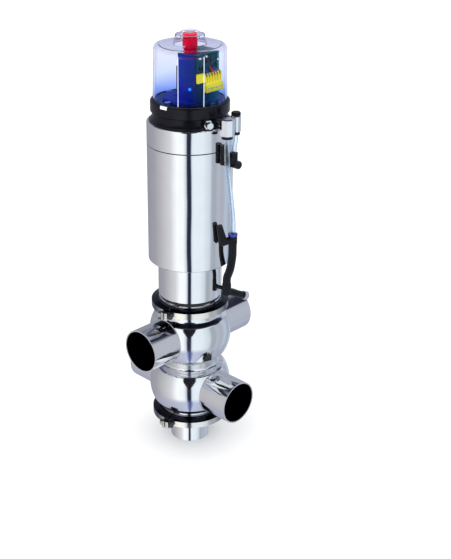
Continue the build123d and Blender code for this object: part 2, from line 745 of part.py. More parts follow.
def make_top_cover():
    """Upper end of the actuator: a cup that carries the control head."""
    wall_in = 62.0
    groove_low = SEAM_Z - 3.2
    groove_high = SEAM_Z - 0.8
    rim = 3.0
    cap_in = TOP_STEM_R + RUNNING_FIT
    with BuildPart() as top_cover:
        with BuildSketch(Plane.XZ):
            with BuildLine():
                Polyline(
                    (cap_in, TOP_COVER_LOW_Z),
                    (CYLINDER_BORE_R, TOP_COVER_LOW_Z),
                    (CYLINDER_BORE_R, groove_low),
                    (CYLINDER_BORE_R - SEAL_DEPTH, groove_low),
                    (CYLINDER_BORE_R - SEAL_DEPTH, groove_high),
                    (CYLINDER_BORE_R, groove_high),
                    (CYLINDER_BORE_R, SEAM_Z),
                    (CYLINDER_R - SEAM_CHAMFER, SEAM_Z),
                    (CYLINDER_R, SEAM_Z + SEAM_CHAMFER),
                    (CYLINDER_R, ACTUATOR_TOP_Z - rim),
                )
                RadiusArc(
                    (CYLINDER_R, ACTUATOR_TOP_Z - rim),
                    (CYLINDER_R - rim, ACTUATOR_TOP_Z),
                    -rim,
                )
                Polyline(
                    (CYLINDER_R - rim, ACTUATOR_TOP_Z),
                    (wall_in, ACTUATOR_TOP_Z),
                    (wall_in, SEAM_Z + 4.0),
                    (cap_in, SEAM_Z + 4.0),
                    (cap_in, TOP_COVER_LOW_Z),
                )
            make_face()
        revolve(axis=Axis.Z)
        with BuildSketch(Plane.XY.offset(SEAM_Z)):
            with PolarLocations(HEAD_SCREW_R, 4):
                Circle(7.0)
        extrude(amount=BASE_LOW_Z - SEAM_Z)
        with BuildSketch(Plane.XY.offset(BASE_LOW_Z)):
            with PolarLocations(HEAD_SCREW_R, 4):
                Circle(2.5)
        extrude(amount=-12.0, mode=Mode.SUBTRACT)
        with BuildSketch(outward(SEAM_ELBOW_ANGLE, 53.0, SEAM_ELBOW_Z)):
            Circle(STUD_R)
        extrude(amount=20.0, mode=Mode.SUBTRACT)
        with BuildSketch(upright(SEAM_ELBOW_ANGLE, 54.6, TOP_COVER_LOW_Z)):
            Circle(1.5)
        extrude(amount=SEAM_ELBOW_Z - TOP_COVER_LOW_Z, mode=Mode.SUBTRACT)
    save(top_cover, "actuator_top_cover")


def make_spring(name, low, high, coil_r, wire_r, turns):
    """Open coil spring between two levels."""
    span = high - low - 2 * wire_r - 0.4
    start = low + wire_r + 0.2
    with BuildPart() as spring:
        with BuildLine():
            Helix(pitch=span / turns, height=span, radius=coil_r, center=(0, 0, start))
        with BuildSketch(Plane(origin=(coil_r, 0, start), z_dir=(0, 1, 0))):
            Circle(wire_r)
        sweep(is_frenet=True)
    save(spring, name)


# ------------------------------------------------------------------ control head
def make_head_base():
    """Black base of the control head, with the ring nut that holds the hood."""
    plug_r = 61.8
    bore = 18.0
    ledge_r = COLLAR_R - 3.3
    spigot_r = HOOD_LOW_R - HOOD_WALL - 0.8
    with BuildPart() as head_base:
        with BuildSketch(Plane.XZ):
            with BuildLine():
                Polyline(
                    (bore, BASE_LOW_Z),
                    (plug_r, BASE_LOW_Z),
                    (plug_r, ACTUATOR_TOP_Z),
                    (BASE_R, ACTUATOR_TOP_Z),
                    (BASE_R, ACTUATOR_TOP_Z + 2.0),
                )
                ThreePointArc(
                    (BASE_R, ACTUATOR_TOP_Z + 2.0),
                    (57.0, 559.5),
                    (BASE_WAIST_R, BASE_WAIST_Z),
                )
                Polyline(
                    (BASE_WAIST_R, BASE_WAIST_Z),
                    (BASE_WAIST_R, HOOD_LOW_Z - 1.0),
                    (spigot_r, HOOD_LOW_Z - 1.0),
                    (spigot_r, HOOD_LOW_Z + 1.5),
                    (spigot_r - 2.0, HOOD_LOW_Z + 1.5),
                    (spigot_r - 2.0, HOOD_LOW_Z + 4.5),
                    (spigot_r, HOOD_LOW_Z + 4.5),
                    (spigot_r, COLLAR_TOP_Z),
                    (bore, COLLAR_TOP_Z),
                    (bore, BASE_LOW_Z),
                )
            make_face()
        revolve(axis=Axis.Z)
        with BuildSketch(Plane.XY.offset(COLLAR_TOP_Z)):
            with PolarLocations(HEAD_SCREW_R, 4):
                Circle(2.5)
        extrude(amount=-40.0, mode=Mode.SUBTRACT)
        for angle in (SILENCER_ANGLE, FRONT_ANGLE, REAR_ANGLE, GLAND_ANGLE):
            with BuildSketch(outward(angle, 50.0, PORT_LEVEL)):
                Circle(STUD_R)
            extrude(amount=20.0, mode=Mode.SUBTRACT)
    save(head_base, "head_base")
    make_ring("hood_seal", spigot_r - 2.0, spigot_r + 0.3, HOOD_LOW_Z + 1.5, HOOD_LOW_Z + 4.5)

    outline = [
        (BASE_WAIST_R, COLLAR_LOW_Z),
        (COLLAR_R - 1.0, COLLAR_LOW_Z),
        (COLLAR_R, COLLAR_LOW_Z + 1.0),
        (COLLAR_R, COLLAR_TOP_Z - 1.5),
        (COLLAR_R - 1.0, COLLAR_TOP_Z),
        (ledge_r, COLLAR_TOP_Z),
        (ledge_r, HOOD_LOW_Z - 1.0),
        (BASE_WAIST_R, HOOD_LOW_Z - 1.0),
    ]
    with BuildPart() as head_collar:
        with BuildSketch(Plane.XZ):
            with BuildLine():
                Polyline(*outline, close=True)
            make_face()
        revolve(axis=Axis.Z)
        with BuildSketch(upright(185.0, COLLAR_R, COLLAR_TOP_Z - 4.0)):
            Rectangle(3.0, 12.0)
        extrude(amount=10.0, mode=Mode.SUBTRACT)
    save(head_collar, "head_collar")
    with BuildPart() as collar_clip:
        with BuildSketch(upright(185.0, COLLAR_R - 0.5, COLLAR_TOP_Z - 4.0)):
            Rectangle(2.0, 12.0)
        extrude(amount=4.6)
        with BuildSketch(Plane.XY.offset(COLLAR_TOP_Z - 6.0)):
            Circle(COLLAR_R - 1.5)
        extrude(amount=12.0, mode=Mode.SUBTRACT)
    save(collar_clip, "collar_clip")


def make_head_screws():
    """Four screws that hold the control head on the actuator."""
    with BuildPart() as head_screws:
        for turn in range(4):
            seat = upright(90.0 * turn, HEAD_SCREW_R, COLLAR_TOP_Z)
            with BuildSketch(seat):
                Circle(4.2)
            extrude(amount=3.6)
            with BuildSketch(seat):
                Circle(2.5)
            extrude(amount=-48.0)
            with BuildSketch(seat.offset(3.6)):
                RegularPolygon(2.2, 6)
            extrude(amount=-2.0, mode=Mode.SUBTRACT)
    save(head_screws, "head_screws")


def make_electronics():
    """Everything inside the clear hood that stays with the base."""
    floor_z = COLLAR_TOP_Z
    deck_z = floor_z + 4.0
    deck_r = 41.0
    block_top = 655.0
    with BuildPart() as electronics_housing:
        with BuildSketch(Plane.XY.offset(floor_z)):
            Circle(deck_r)
        extrude(amount=deck_z - floor_z)
        with BuildSketch(Plane.XY.offset(deck_z)):
            with Locations((4.0, -13.5)):
                RectangleRounded(52.0, 37.0, 3.0)
        extrude(amount=block_top - deck_z)
        with BuildSketch(Plane.XY.offset(floor_z)):
            Circle(CORE_BORE_R)
            with Locations((0, 10.0)):
                Rectangle(2 * CORE_BORE_R, 20.0)
        extrude(amount=block_top - floor_z, mode=Mode.SUBTRACT)
    save(electronics_housing, "electronics_housing")

    with BuildPart() as circuit_board:
        with BuildSketch(Plane.XZ.offset(32.0)):
            with Locations((2.0, 643.0)):
                Rectangle(42.0, 26.0)
        extrude(amount=1.6)
        with BuildSketch(Plane.XZ.offset(33.6)):
            with Locations((-9.0, 647.0), (13.0, 647.0)):
                Rectangle(10.0, 10.0)
            with GridLocations(6.0, 1.0, 6, 1):
                with Locations((2.0, 635.0)):
                    Rectangle(3.0, 4.0)
        extrude(amount=1.4)
    save(circuit_board, "circuit_board")

    with BuildPart() as terminal_block:
        with BuildSketch(Plane.XZ.offset(32.0)):
            with Locations((13.0, 613.0)):
                Rectangle(34.0, 27.0)
            with Locations((-11.5, 621.5)):
                Rectangle(15.0, 13.0)
        extrude(amount=4.0)
        with BuildSketch(Plane.XZ.offset(36.0)):
            with Locations((13.0, 604.75)):
                Rectangle(34.0, 10.5)
        extrude(amount=3.0)
        with BuildSketch(Plane.XZ.offset(36.0)):
            with GridLocations(5.5, 1.0, 6, 1):
                with Locations((13.0, 618.5)):
                    Rectangle(2.4, 11.0)
        extrude(amount=-2.0, mode=Mode.SUBTRACT)
        with BuildSketch(Plane.XZ.offset(39.0)):
            with GridLocations(5.5, 1.0, 6, 1):
                with Locations((13.0, 604.75)):
                    Circle(1.5)
        extrude(amount=-2.0, mode=Mode.SUBTRACT)
    save(terminal_block, "terminal_block")

    with BuildPart() as pilot_valves:
        valve_places = PolarLocations(32.0, 3, start_angle=24.0, angular_range=48.0, endpoint=True)
        with BuildSketch(Plane.XY.offset(deck_z)):
            with Locations(*valve_places.locations):
                RectangleRounded(11.0, 10.0, 1.5)
        extrude(amount=38.0)
        with BuildSketch(Plane.XY.offset(deck_z + 38.0)):
            with Locations(*valve_places.locations):
                Circle(4.0)
        extrude(amount=5.0)
    save(pilot_valves, "pilot_valves")

    with BuildPart() as position_sensor:
        with BuildSketch(Plane.XY.offset(deck_z)):
            with Locations((18.2, 10.0)):
                Rectangle(5.0, 9.0)
        extrude(amount=60.0)
    save(position_sensor, "position_sensor")


def hood_form(inset, low):
    """Turned form of the hood, outer surface or inner hollow."""
    with BuildPart() as form:
        with BuildSketch(Plane.XZ):
            with BuildLine():
                Polyline(
                    (0, low),
                    (HOOD_LOW_R - inset, low),
                    (HOOD_TOP_R - inset, HOOD_SHOULDER_Z),
                )
                ThreePointArc(
                    (HOOD_TOP_R - inset, HOOD_SHOULDER_Z),
                    (HOOD_TOP_R - inset - 1.8, HOOD_SHOULDER_Z + 4.3 - inset / 2),
                    (HOOD_TOP_R - inset - 6.5, HOOD_TOP_Z - 1.0 - inset),
                )
                Polyline(
                    (HOOD_TOP_R - inset - 6.5, HOOD_TOP_Z - 1.0 - inset),
                    (BOSS_R + 3.0, HOOD_TOP_Z - inset),
                    (BOSS_R, BOSS_TOP_Z - inset),
                    (0, BOSS_TOP_Z - inset),
                    (0, low),
                )
            make_face()
        revolve(axis=Axis.Z)
    return form.part


def make_hood():
    """Clear hood with a raised front panel, and the sight dome on its top."""
    outside = hood_form(0.0, HOOD_LOW_Z)
    inside = hood_form(HOOD_WALL, HOOD_LOW_Z - 1.0)
    dome_bore = DOME_R - 1.2
    panel_half_width = 20.5
    panel_low = 588.0
    panel_high = 655.0
    rib = 1.2
    with BuildPart() as ribs:
        with BuildSketch(outward(225.0, 30.0, (panel_low + panel_high) / 2)):
            Rectangle(2 * panel_half_width, panel_high - panel_low)
            Rectangle(
                2 * (panel_half_width - rib),
                panel_high - panel_low - 2 * rib,
                mode=Mode.SUBTRACT,
            )
        extrude(amount=40.0)
        add(outside, mode=Mode.INTERSECT)
        add(hood_form(HOOD_WALL + rib, HOOD_LOW_Z), mode=Mode.SUBTRACT)
    with BuildPart() as clear_hood:
        add(outside)
        add(inside, mode=Mode.SUBTRACT)
        with BuildSketch(Plane.XY.offset(HOOD_TOP_Z - 10.0)):
            Circle(DOME_R)
        extrude(amount=30.0, mode=Mode.SUBTRACT)
        add(ribs.part)
    save(clear_hood, "clear_hood")
    outline = [
        (dome_bore, BOSS_TOP_Z - HOOD_WALL - 1.0),
        (DOME_R, BOSS_TOP_Z - HOOD_WALL - 1.0),
        (DOME_R, DOME_TOP_Z - 1.5),
        (DOME_R - 1.5, DOME_TOP_Z),
        (0, DOME_TOP_Z),
        (0, DOME_TOP_Z - 1.5),
        (dome_bore, DOME_TOP_Z - 1.5),
    ]
    make_turned("sight_dome", outline)


# ------------------------------------------------------------------ fittings and air lines
def make_silencer():
    """Exhaust silencer on the head: hexagon nut and sintered barrel."""
    nut_long = 7.0
    with BuildPart() as exhaust_nut:
        with BuildSketch(outward(SILENCER_ANGLE, PORT_STUD_IN, PORT_LEVEL)):
            Circle(STUD_R)
        extrude(amount=PORT_SEAT_R - PORT_STUD_IN)
        with BuildSketch(outward(SILENCER_ANGLE, PORT_SEAT_R, PORT_LEVEL)):
            RegularPolygon(7.0, 6)
        extrude(amount=nut_long)
    save(exhaust_nut, "exhaust_nut")
    with BuildPart() as exhaust_silencer:
        with BuildSketch(outward(SILENCER_ANGLE, PORT_SEAT_R + nut_long, PORT_LEVEL)):
            Circle(5.2)
        extrude(amount=8.0)
        fillet(exhaust_silencer.faces().sort_by(Axis.Y)[0].edges(), radius=1.2)
    save(exhaust_silencer, "exhaust_silencer")


def make_head_elbow(name, angle, line_r, body_r, body_top, sides):
    """Air outlet of the head: radial arm and upright body, round or faceted."""
    with BuildPart() as elbow:
        with BuildSketch(outward(angle, PORT_STUD_IN, PORT_LEVEL)):
            Circle(STUD_R)
        extrude(amount=PORT_SEAT_R - PORT_STUD_IN)
        with BuildSketch(outward(angle, PORT_SEAT_R, PORT_LEVEL)):
            Circle(6.0)
        extrude(amount=line_r - PORT_SEAT_R)
        with BuildSketch(upright(angle, line_r, RELEASE_TOP_Z)):
            if sides:
                RegularPolygon(body_r, sides)
            else:
                Circle(body_r)
        extrude(amount=body_top - RELEASE_TOP_Z)
        chamfer(elbow.faces().sort_by(Axis.Z)[-1].edges(), length=1.5)
        with BuildSketch(upright(angle, line_r, RELEASE_TOP_Z)):
            Circle(AIR_TUBE_BORE_R)
        extrude(amount=12.0, mode=Mode.SUBTRACT)
    save(elbow, name)


def make_release_rings():
    """Black release rings under the two air outlets of the head."""
    with BuildPart() as release_rings:
        for angle, line_r, ring_r in ((FRONT_ANGLE, FRONT_LINE_R, 8.3), (REAR_ANGLE, LINE_R, 6.4)):
            with BuildSketch(upright(angle, line_r, RELEASE_LOW_Z)):
                Circle(ring_r)
                Circle(AIR_TUBE_BORE_R, mode=Mode.SUBTRACT)
            extrude(amount=RELEASE_TOP_Z - RELEASE_LOW_Z)
    save(release_rings, "release_rings")


def make_throttle_knob():
    """Black adjusting knob on top of the rear air outlet."""
    with BuildPart() as throttle_knob:
        with BuildSketch(upright(REAR_ANGLE, LINE_R, REAR_BODY_TOP_Z)):
            Circle(6.6)
        extrude(amount=5.0)
        chamfer(throttle_knob.faces().sort_by(Axis.Z)[-1].edges(), length=0.8)
    save(throttle_knob, "throttle_knob")


def make_cable_gland():
    """Cable gland on the far side of the head, without its cable."""
    hex_start = PORT_SEAT_R + 1.0
    cap_start = hex_start + 6.0
    with BuildPart() as cable_gland:
        with BuildSketch(outward(GLAND_ANGLE, PORT_STUD_IN, PORT_LEVEL)):
            Circle(STUD_R)
        extrude(amount=hex_start - PORT_STUD_IN)
        with BuildSketch(outward(GLAND_ANGLE, hex_start, PORT_LEVEL)):
            RegularPolygon(9.0, 6)
        extrude(amount=cap_start - hex_start)
        with BuildSketch(outward(GLAND_ANGLE, cap_start, PORT_LEVEL)):
            Circle(7.4)
        extrude(amount=12.0)
        with BuildSketch(outward(GLAND_ANGLE, cap_start + 12.0, PORT_LEVEL)):
            Circle(3.0)
        extrude(amount=-16.0, mode=Mode.SUBTRACT)
    save(cable_gland, "cable_gland")


def make_seam_elbow():
    """Fitting under the actuator seam: stud, upright body, side socket and end plug."""
    body = at(SEAM_ELBOW_ANGLE, SEAM_BODY_R, 498.0)
    socket = at(SEAM_SOCKET_ANGLE, LINE_R, 497.0)
    end_plug = at(SEAM_SOCKET_ANGLE + 6.5, 81.0, 492.5)
    with BuildPart() as seam_elbow:
        with BuildSketch(outward(SEAM_ELBOW_ANGLE, 56.0, SEAM_ELBOW_Z)):
            Circle(STUD_R)
        extrude(amount=SEAM_BODY_R - 56.0)
        with BuildSketch(Plane(origin=body, z_dir=(0, 0, 1))):
            Circle(6.2)
        extrude(amount=29.0)
        with BuildSketch(Plane(origin=socket, z_dir=(0, 0, 1))):
            Circle(6.0)
        extrude(amount=SEAM_TUBE_END_Z - 497.0)
        link = socket + Vector(0, 0, 5.0) - body
        with BuildSketch(Plane(origin=body + Vector(0, 0, 3.0), z_dir=link)):
            Circle(5.2)
        extrude(amount=link.length)
        arm = end_plug - socket
        with BuildSketch(Plane(origin=socket - arm.normalized() * 4.0, z_dir=arm)):
            Circle(6.4)
        extrude(amount=arm.length + 6.0)
        with BuildSketch(Plane(origin=end_plug + arm.normalized() * 2.0, z_dir=arm)):
            Circle(3.0)
        extrude(amount=-3.0, mode=Mode.SUBTRACT)
        with BuildSketch(Plane(origin=socket + Vector(0, 0, SEAM_TUBE_END_Z - 497.0), z_dir=(0, 0, 1))):
            Circle(AIR_TUBE_BORE_R)
        extrude(amount=-10.0, mode=Mode.SUBTRACT)
    save(seam_elbow, "seam_elbow")


def make_lower_elbow():
    """Fitting low on the actuator: stud, slanted body and two sockets in line."""
    body = at(LOWER_ELBOW_ANGLE, 74.0, 373.0)
    tip = at(LOWER_ELBOW_ANGLE - 5.0, 72.0, 402.0)
    socket = at(LOWER_SOCKET_ANGLE, LINE_R, HOSE_TOP_Z)
    with BuildPart() as lower_elbow:
        with BuildSketch(outward(LOWER_ELBOW_ANGLE, CYLINDER_BORE_R + 0.3, LOWER_ELBOW_Z)):
            Circle(STUD_R)
        extrude(amount=10.0)
        slant = tip - body
        with BuildSketch(Plane(origin=body, z_dir=slant)):
            Circle(7.2)
        with BuildSketch(Plane(origin=tip, z_dir=slant)):
            Circle(4.6)
        loft()
        link = socket + Vector(0, 0, 6.5) - body
        with BuildSketch(Plane(origin=body + Vector(0, 0, 0.5) - link.normalized() * 3.0, z_dir=link)):
            Circle(5.6)
        extrude(amount=link.length + 3.0)
        with BuildSketch(Plane(origin=socket, z_dir=(0, 0, 1))):
            Circle(7.0)
        extrude(amount=LOWER_TUBE_END_Z - 3.0 - HOSE_TOP_Z)
        with BuildSketch(Plane(origin=socket, z_dir=(0, 0, 1))):
            Circle(AIR_TUBE_BORE_R)
        extrude(amount=LOWER_TUBE_END_Z - 3.0 - HOSE_TOP_Z, mode=Mode.SUBTRACT)
    save(lower_elbow, "lower_elbow")
    with BuildPart() as ring:
        with BuildSketch(upright(LOWER_SOCKET_ANGLE, LINE_R, LOWER_TUBE_END_Z - 3.0)):
            Circle(7.4)
            Circle(AIR_TUBE_BORE_R, mode=Mode.SUBTRACT)
        extrude(amount=3.0)
    save(ring, "lower_elbow_ring")


def make_neck_elbow():
    """Rinse connection of the lantern: stud, body, coupling barrel and its nut."""
    body = at(NECK_ELBOW_ANGLE, NECK_ELBOW_R, NECK_ELBOW_Z)
    barrel_start = body - Vector(0, 0, 4.0)
    barrel_end = Vector(60.0, -68.0, 260.0)
    along = barrel_end - barrel_start
    with BuildPart() as neck_elbow:
        with BuildSketch(outward(NECK_ELBOW_ANGLE, LANTERN_R - LANTERN_WALL + 1.0, NECK_ELBOW_Z)):
            Circle(STUD_R)
        extrude(amount=NECK_ELBOW_R - LANTERN_R + LANTERN_WALL - 1.0)
        with BuildSketch(Plane(origin=body - Vector(0, 0, 9.0), z_dir=(0, 0, 1))):
            Circle(7.2)
        extrude(amount=HOSE_END_Z - NECK_ELBOW_Z + 9.0)
        with BuildSketch(Plane(origin=barrel_start, z_dir=along)):
            Circle(5.6)
        extrude(amount=along.length - 8.0)
        with BuildSketch(Plane(origin=body + Vector(0, 0, HOSE_END_Z - NECK_ELBOW_Z), z_dir=(0, 0, 1))):
            Circle(HOSE_BORE_R)
        extrude(amount=-10.0, mode=Mode.SUBTRACT)
    save(neck_elbow, "neck_elbow")
    nut_start = barrel_start + along.normalized() * (along.length - 8.0)
    with BuildPart() as coupling_nut:
        with BuildSketch(Plane(origin=nut_start, z_dir=along)):
            Circle(7.0)
        extrude(amount=8.0)
        with BuildSketch(Plane(origin=nut_start + along.normalized() * 8.0, z_dir=along)):
            Circle(4.4)
        extrude(amount=-6.0, mode=Mode.SUBTRACT)
    save(coupling_nut, "coupling_nut")


def bend_radii(points):
    """Largest smooth radius at each corner of a route."""
    radii = []
    for before, corner, after in zip(points, points[1:], points[2:]):
        inward = corner - before
        onward = after - corner
        turn = math.radians(inward.get_angle(onward))
        shorter = min(inward.length, onward.length)
        radii.append(0.45 * shorter / math.tan(turn / 2))
    return radii


def make_line(name, points, outer_r, bore_r):
    """Air tube or hose made of straight runs joined by tangent arcs."""
    radii = bend_radii(points)
    with BuildPart() as line:
        with BuildLine() as route:
            FilletPolyline(*points, radius=radii)
        with BuildSketch(Plane(origin=points[0], z_dir=points[1] - points[0])):
            Circle(outer_r)
            Circle(bore_r, mode=Mode.SUBTRACT)
        sweep()
    length = sum(edge.length for edge in route.edges())
    expected = math.pi * (outer_r ** 2 - bore_r ** 2) * length
    print(name, "length", round(length, 1), "radii", [round(r) for r in radii])
    print(name, "volume ratio", round(line.part.volume / expected, 4))
    save(line, name)


def make_lines():
    """The two air tubes and the rinse hose, from fitting to fitting."""
    front = [
        at(FRONT_ANGLE, FRONT_LINE_R, RELEASE_LOW_Z),
        at(FRONT_ANGLE, FRONT_LINE_R, 508.0),
        at(FRONT_ANGLE + 3.5, FRONT_LINE_R, 472.0),
        at(FRONT_ANGLE + 9.5, FRONT_LINE_R - 1.5, 434.0),
        at(LOWER_SOCKET_ANGLE, LINE_R, 404.0),
        at(LOWER_SOCKET_ANGLE, LINE_R, LOWER_TUBE_END_Z),
    ]
    make_line("air_tube_front", front, AIR_TUBE_R, AIR_TUBE_BORE_R)
    rear = [
        at(REAR_ANGLE, LINE_R, RELEASE_LOW_Z),
        at(REAR_ANGLE, LINE_R, RELEASE_LOW_Z - 8.0),
        at(SEAM_SOCKET_ANGLE, LINE_R, SEAM_TUBE_END_Z + 8.0),
        at(SEAM_SOCKET_ANGLE, LINE_R, SEAM_TUBE_END_Z),
    ]
    make_line("air_tube_rear", rear, AIR_TUBE_R, AIR_TUBE_BORE_R)
    hose = [
        at(LOWER_SOCKET_ANGLE, LINE_R, HOSE_TOP_Z),
        at(LOWER_SOCKET_ANGLE, LINE_R, 346.0),
        at(LOWER_SOCKET_ANGLE + 4.0, 72.5, 320.0),
        at(NECK_ELBOW_ANGLE, NECK_ELBOW_R, 303.0),
        at(NECK_ELBOW_ANGLE, NECK_ELBOW_R, HOSE_END_Z),
    ]
    make_line("rinse_hose", hose, HOSE_R, HOSE_BORE_R)


def main():
    os.makedirs("parts", exist_ok=True)
    make_housing("lower_housing", LOWER_Z, -1, LOWER_JOINT_Z, outward(90.0, 0, LOWER_Z))
    make_housing("upper_housing", UPPER_Z, 1, UPPER_JOINT_Z, outward(0.0, 0, UPPER_Z))
    make_ports("lower_ports", LOWER_Z, -1, LOWER_JOINT_Z, (-90.0, 90.0))
    make_ports("upper_ports", UPPER_Z, 1, UPPER_JOINT_Z, (180.0, 0.0))
    make_seat_ring()
    make_lower_cover()
    make_clamp("lower_clamp", LOWER_JOINT_Z)
    make_clamp("upper_clamp", UPPER_JOINT_Z)
    make_clamp_fasteners()
    make_flange_gaskets()
    make_stem_guides()
    make_lower_plug()
    make_push_piston()
    make_indicator()
    make_upper_plug()
    make_lantern()
    make_bottom_cover()
    make_cylinder()
    make_partition()
    make_top_cover()
    make_spring("main_spring", BOTTOM_COVER_TOP_Z, MAIN_PISTON_Z + 4.0, 45.0, 3.2, 4)
    make_spring("push_spring", PARTITION_TOP_Z, PUSH_PISTON_Z + 3.0, 40.0, 2.6, 5)
    make_head_base()
    make_head_screws()
    make_electronics()
    make_hood()
    make_silencer()
    make_head_elbow("front_elbow", FRONT_ANGLE, FRONT_LINE_R, 10.8, 571.0, 8)
    make_head_elbow("rear_elbow", REAR_ANGLE, LINE_R, 7.6, REAR_BODY_TOP_Z, 0)
    make_release_rings()
    make_throttle_knob()
    make_cable_gland()
    make_seam_elbow()
    make_lower_elbow()
    make_neck_elbow()
    make_lines()


main()
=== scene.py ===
import json
import math

import bpy
from mathutils import Matrix, Vector


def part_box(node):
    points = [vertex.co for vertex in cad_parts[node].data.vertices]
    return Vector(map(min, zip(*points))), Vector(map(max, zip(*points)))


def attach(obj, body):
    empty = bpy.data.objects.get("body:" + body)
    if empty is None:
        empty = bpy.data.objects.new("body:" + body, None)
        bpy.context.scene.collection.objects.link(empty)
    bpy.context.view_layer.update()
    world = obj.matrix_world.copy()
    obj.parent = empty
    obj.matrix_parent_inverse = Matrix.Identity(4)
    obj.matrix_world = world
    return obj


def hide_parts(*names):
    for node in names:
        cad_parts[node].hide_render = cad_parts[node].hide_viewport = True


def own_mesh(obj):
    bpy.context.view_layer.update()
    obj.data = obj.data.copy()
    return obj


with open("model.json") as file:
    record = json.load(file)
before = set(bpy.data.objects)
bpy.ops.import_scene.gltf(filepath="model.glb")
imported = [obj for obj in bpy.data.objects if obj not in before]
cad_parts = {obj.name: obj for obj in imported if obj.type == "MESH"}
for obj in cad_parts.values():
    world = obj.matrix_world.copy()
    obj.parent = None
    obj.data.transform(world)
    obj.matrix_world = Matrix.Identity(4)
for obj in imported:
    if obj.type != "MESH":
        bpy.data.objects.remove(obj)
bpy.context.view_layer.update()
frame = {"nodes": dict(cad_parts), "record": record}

NODES = frame["nodes"]
MM = 0.001
STROKE = 28.0 * MM        # main_stroke of the record
GAP_STROKE = 5.0 * MM     # gap_closing of the record

# ------------------------------------------------------------------ terminals of the control head
TERMINALS = 6
TERMINAL_X = 13.0 * MM
TERMINAL_PITCH = 5.5 * MM
TERMINAL_SCREW_Z = 604.75 * MM
LEAD_FOOT_Z = 622.0 * MM
LEAD_RISE = 14.0 * MM
LEAD_BOW = 3.0 * MM
BOARD_X = 2.0 * MM
BOARD_PITCH = 6.0 * MM

# ------------------------------------------------------------------ camera
CAMERA_BEARING = math.radians(225.0)   # where the camera stands, round the valve axis
CAMERA_RANGE = 1.544                   # from the valve axis, along the floor
CAMERA_HEIGHT = 1.006
CAMERA_PITCH = math.radians(25.0)
FOCAL_PIXELS = 1061.0
IMAGE_LONG = 559.0
SENSOR = 36.0
AXIS_LEFT_OF_CENTRE = 35.5             # the valve axis stands this many pixels left of the middle


def make_camera():
    """Pinhole camera with its picture shifted sideways."""
    data = bpy.data.cameras.new("camera")
    data.sensor_width = SENSOR
    data.lens = FOCAL_PIXELS / IMAGE_LONG * SENSOR
    data.shift_x = AXIS_LEFT_OF_CENTRE / IMAGE_LONG
    data.clip_end = 60.0
    camera = bpy.data.objects.new("camera", data)
    camera.location = (
        CAMERA_RANGE * math.cos(CAMERA_BEARING),
        CAMERA_RANGE * math.sin(CAMERA_BEARING),
        CAMERA_HEIGHT,
    )
    camera.rotation_euler = (math.pi / 2 - CAMERA_PITCH, 0, CAMERA_BEARING + math.pi / 2)
    bpy.context.scene.collection.objects.link(camera)
    bpy.context.scene.camera = camera


# ------------------------------------------------------------------ node helpers
def node(tree, kind, inputs=None, **settings):
    """A new shader node; an input is a socket to link from or a plain value."""
    made = tree.nodes.new(kind)
    for key, value in settings.items():
        setattr(made, key, value)
    for key, value in (inputs or {}).items():
        if isinstance(value, bpy.types.NodeSocket):
            tree.links.new(value, made.inputs[key])
        else:
            made.inputs[key].default_value = value
    return made


def maths(tree, operation, first, second=0.0):
    """Output of one math node."""
    return node(tree, "ShaderNodeMath", {0: first, 1: second}, operation=operation).outputs[0]


def ramp(tree, factor, stops, smooth="LINEAR"):
    """Colour ramp from (position, grey or colour) stops."""
    made = node(tree, "ShaderNodeValToRGB", {"Fac": factor})
    made.color_ramp.interpolation = smooth
    elements = made.color_ramp.elements
    while len(elements) > 1:
        elements.remove(elements[-1])
    for index, (position, colour) in enumerate(stops):
        if not isinstance(colour, tuple):
            colour = (colour, colour, colour)
        element = elements[0] if index == 0 else elements.new(position)
        element.position = position
        element.color = (*colour, 1.0)
    return made.outputs["Color"]


def mix(tree, factor, first, second, blend="MIX"):
    """Blend of two colours by a factor."""
    made = node(tree, "ShaderNodeMix", {"Factor": factor}, data_type="RGBA", blend_type=blend)
    for socket, value in ((made.inputs[6], first), (made.inputs[7], second)):
        if isinstance(value, bpy.types.NodeSocket):
            tree.links.new(value, socket)
        else:
            socket.default_value = (*value, 1.0)
    return made.outputs[2]


# ------------------------------------------------------------------ studio
def bearing_stops(pairs):
    """Stops by bearing in degrees, right of the camera positive, as ramp positions."""
    return [((bearing + 180.0) / 360.0, colour) for bearing, colour in pairs]


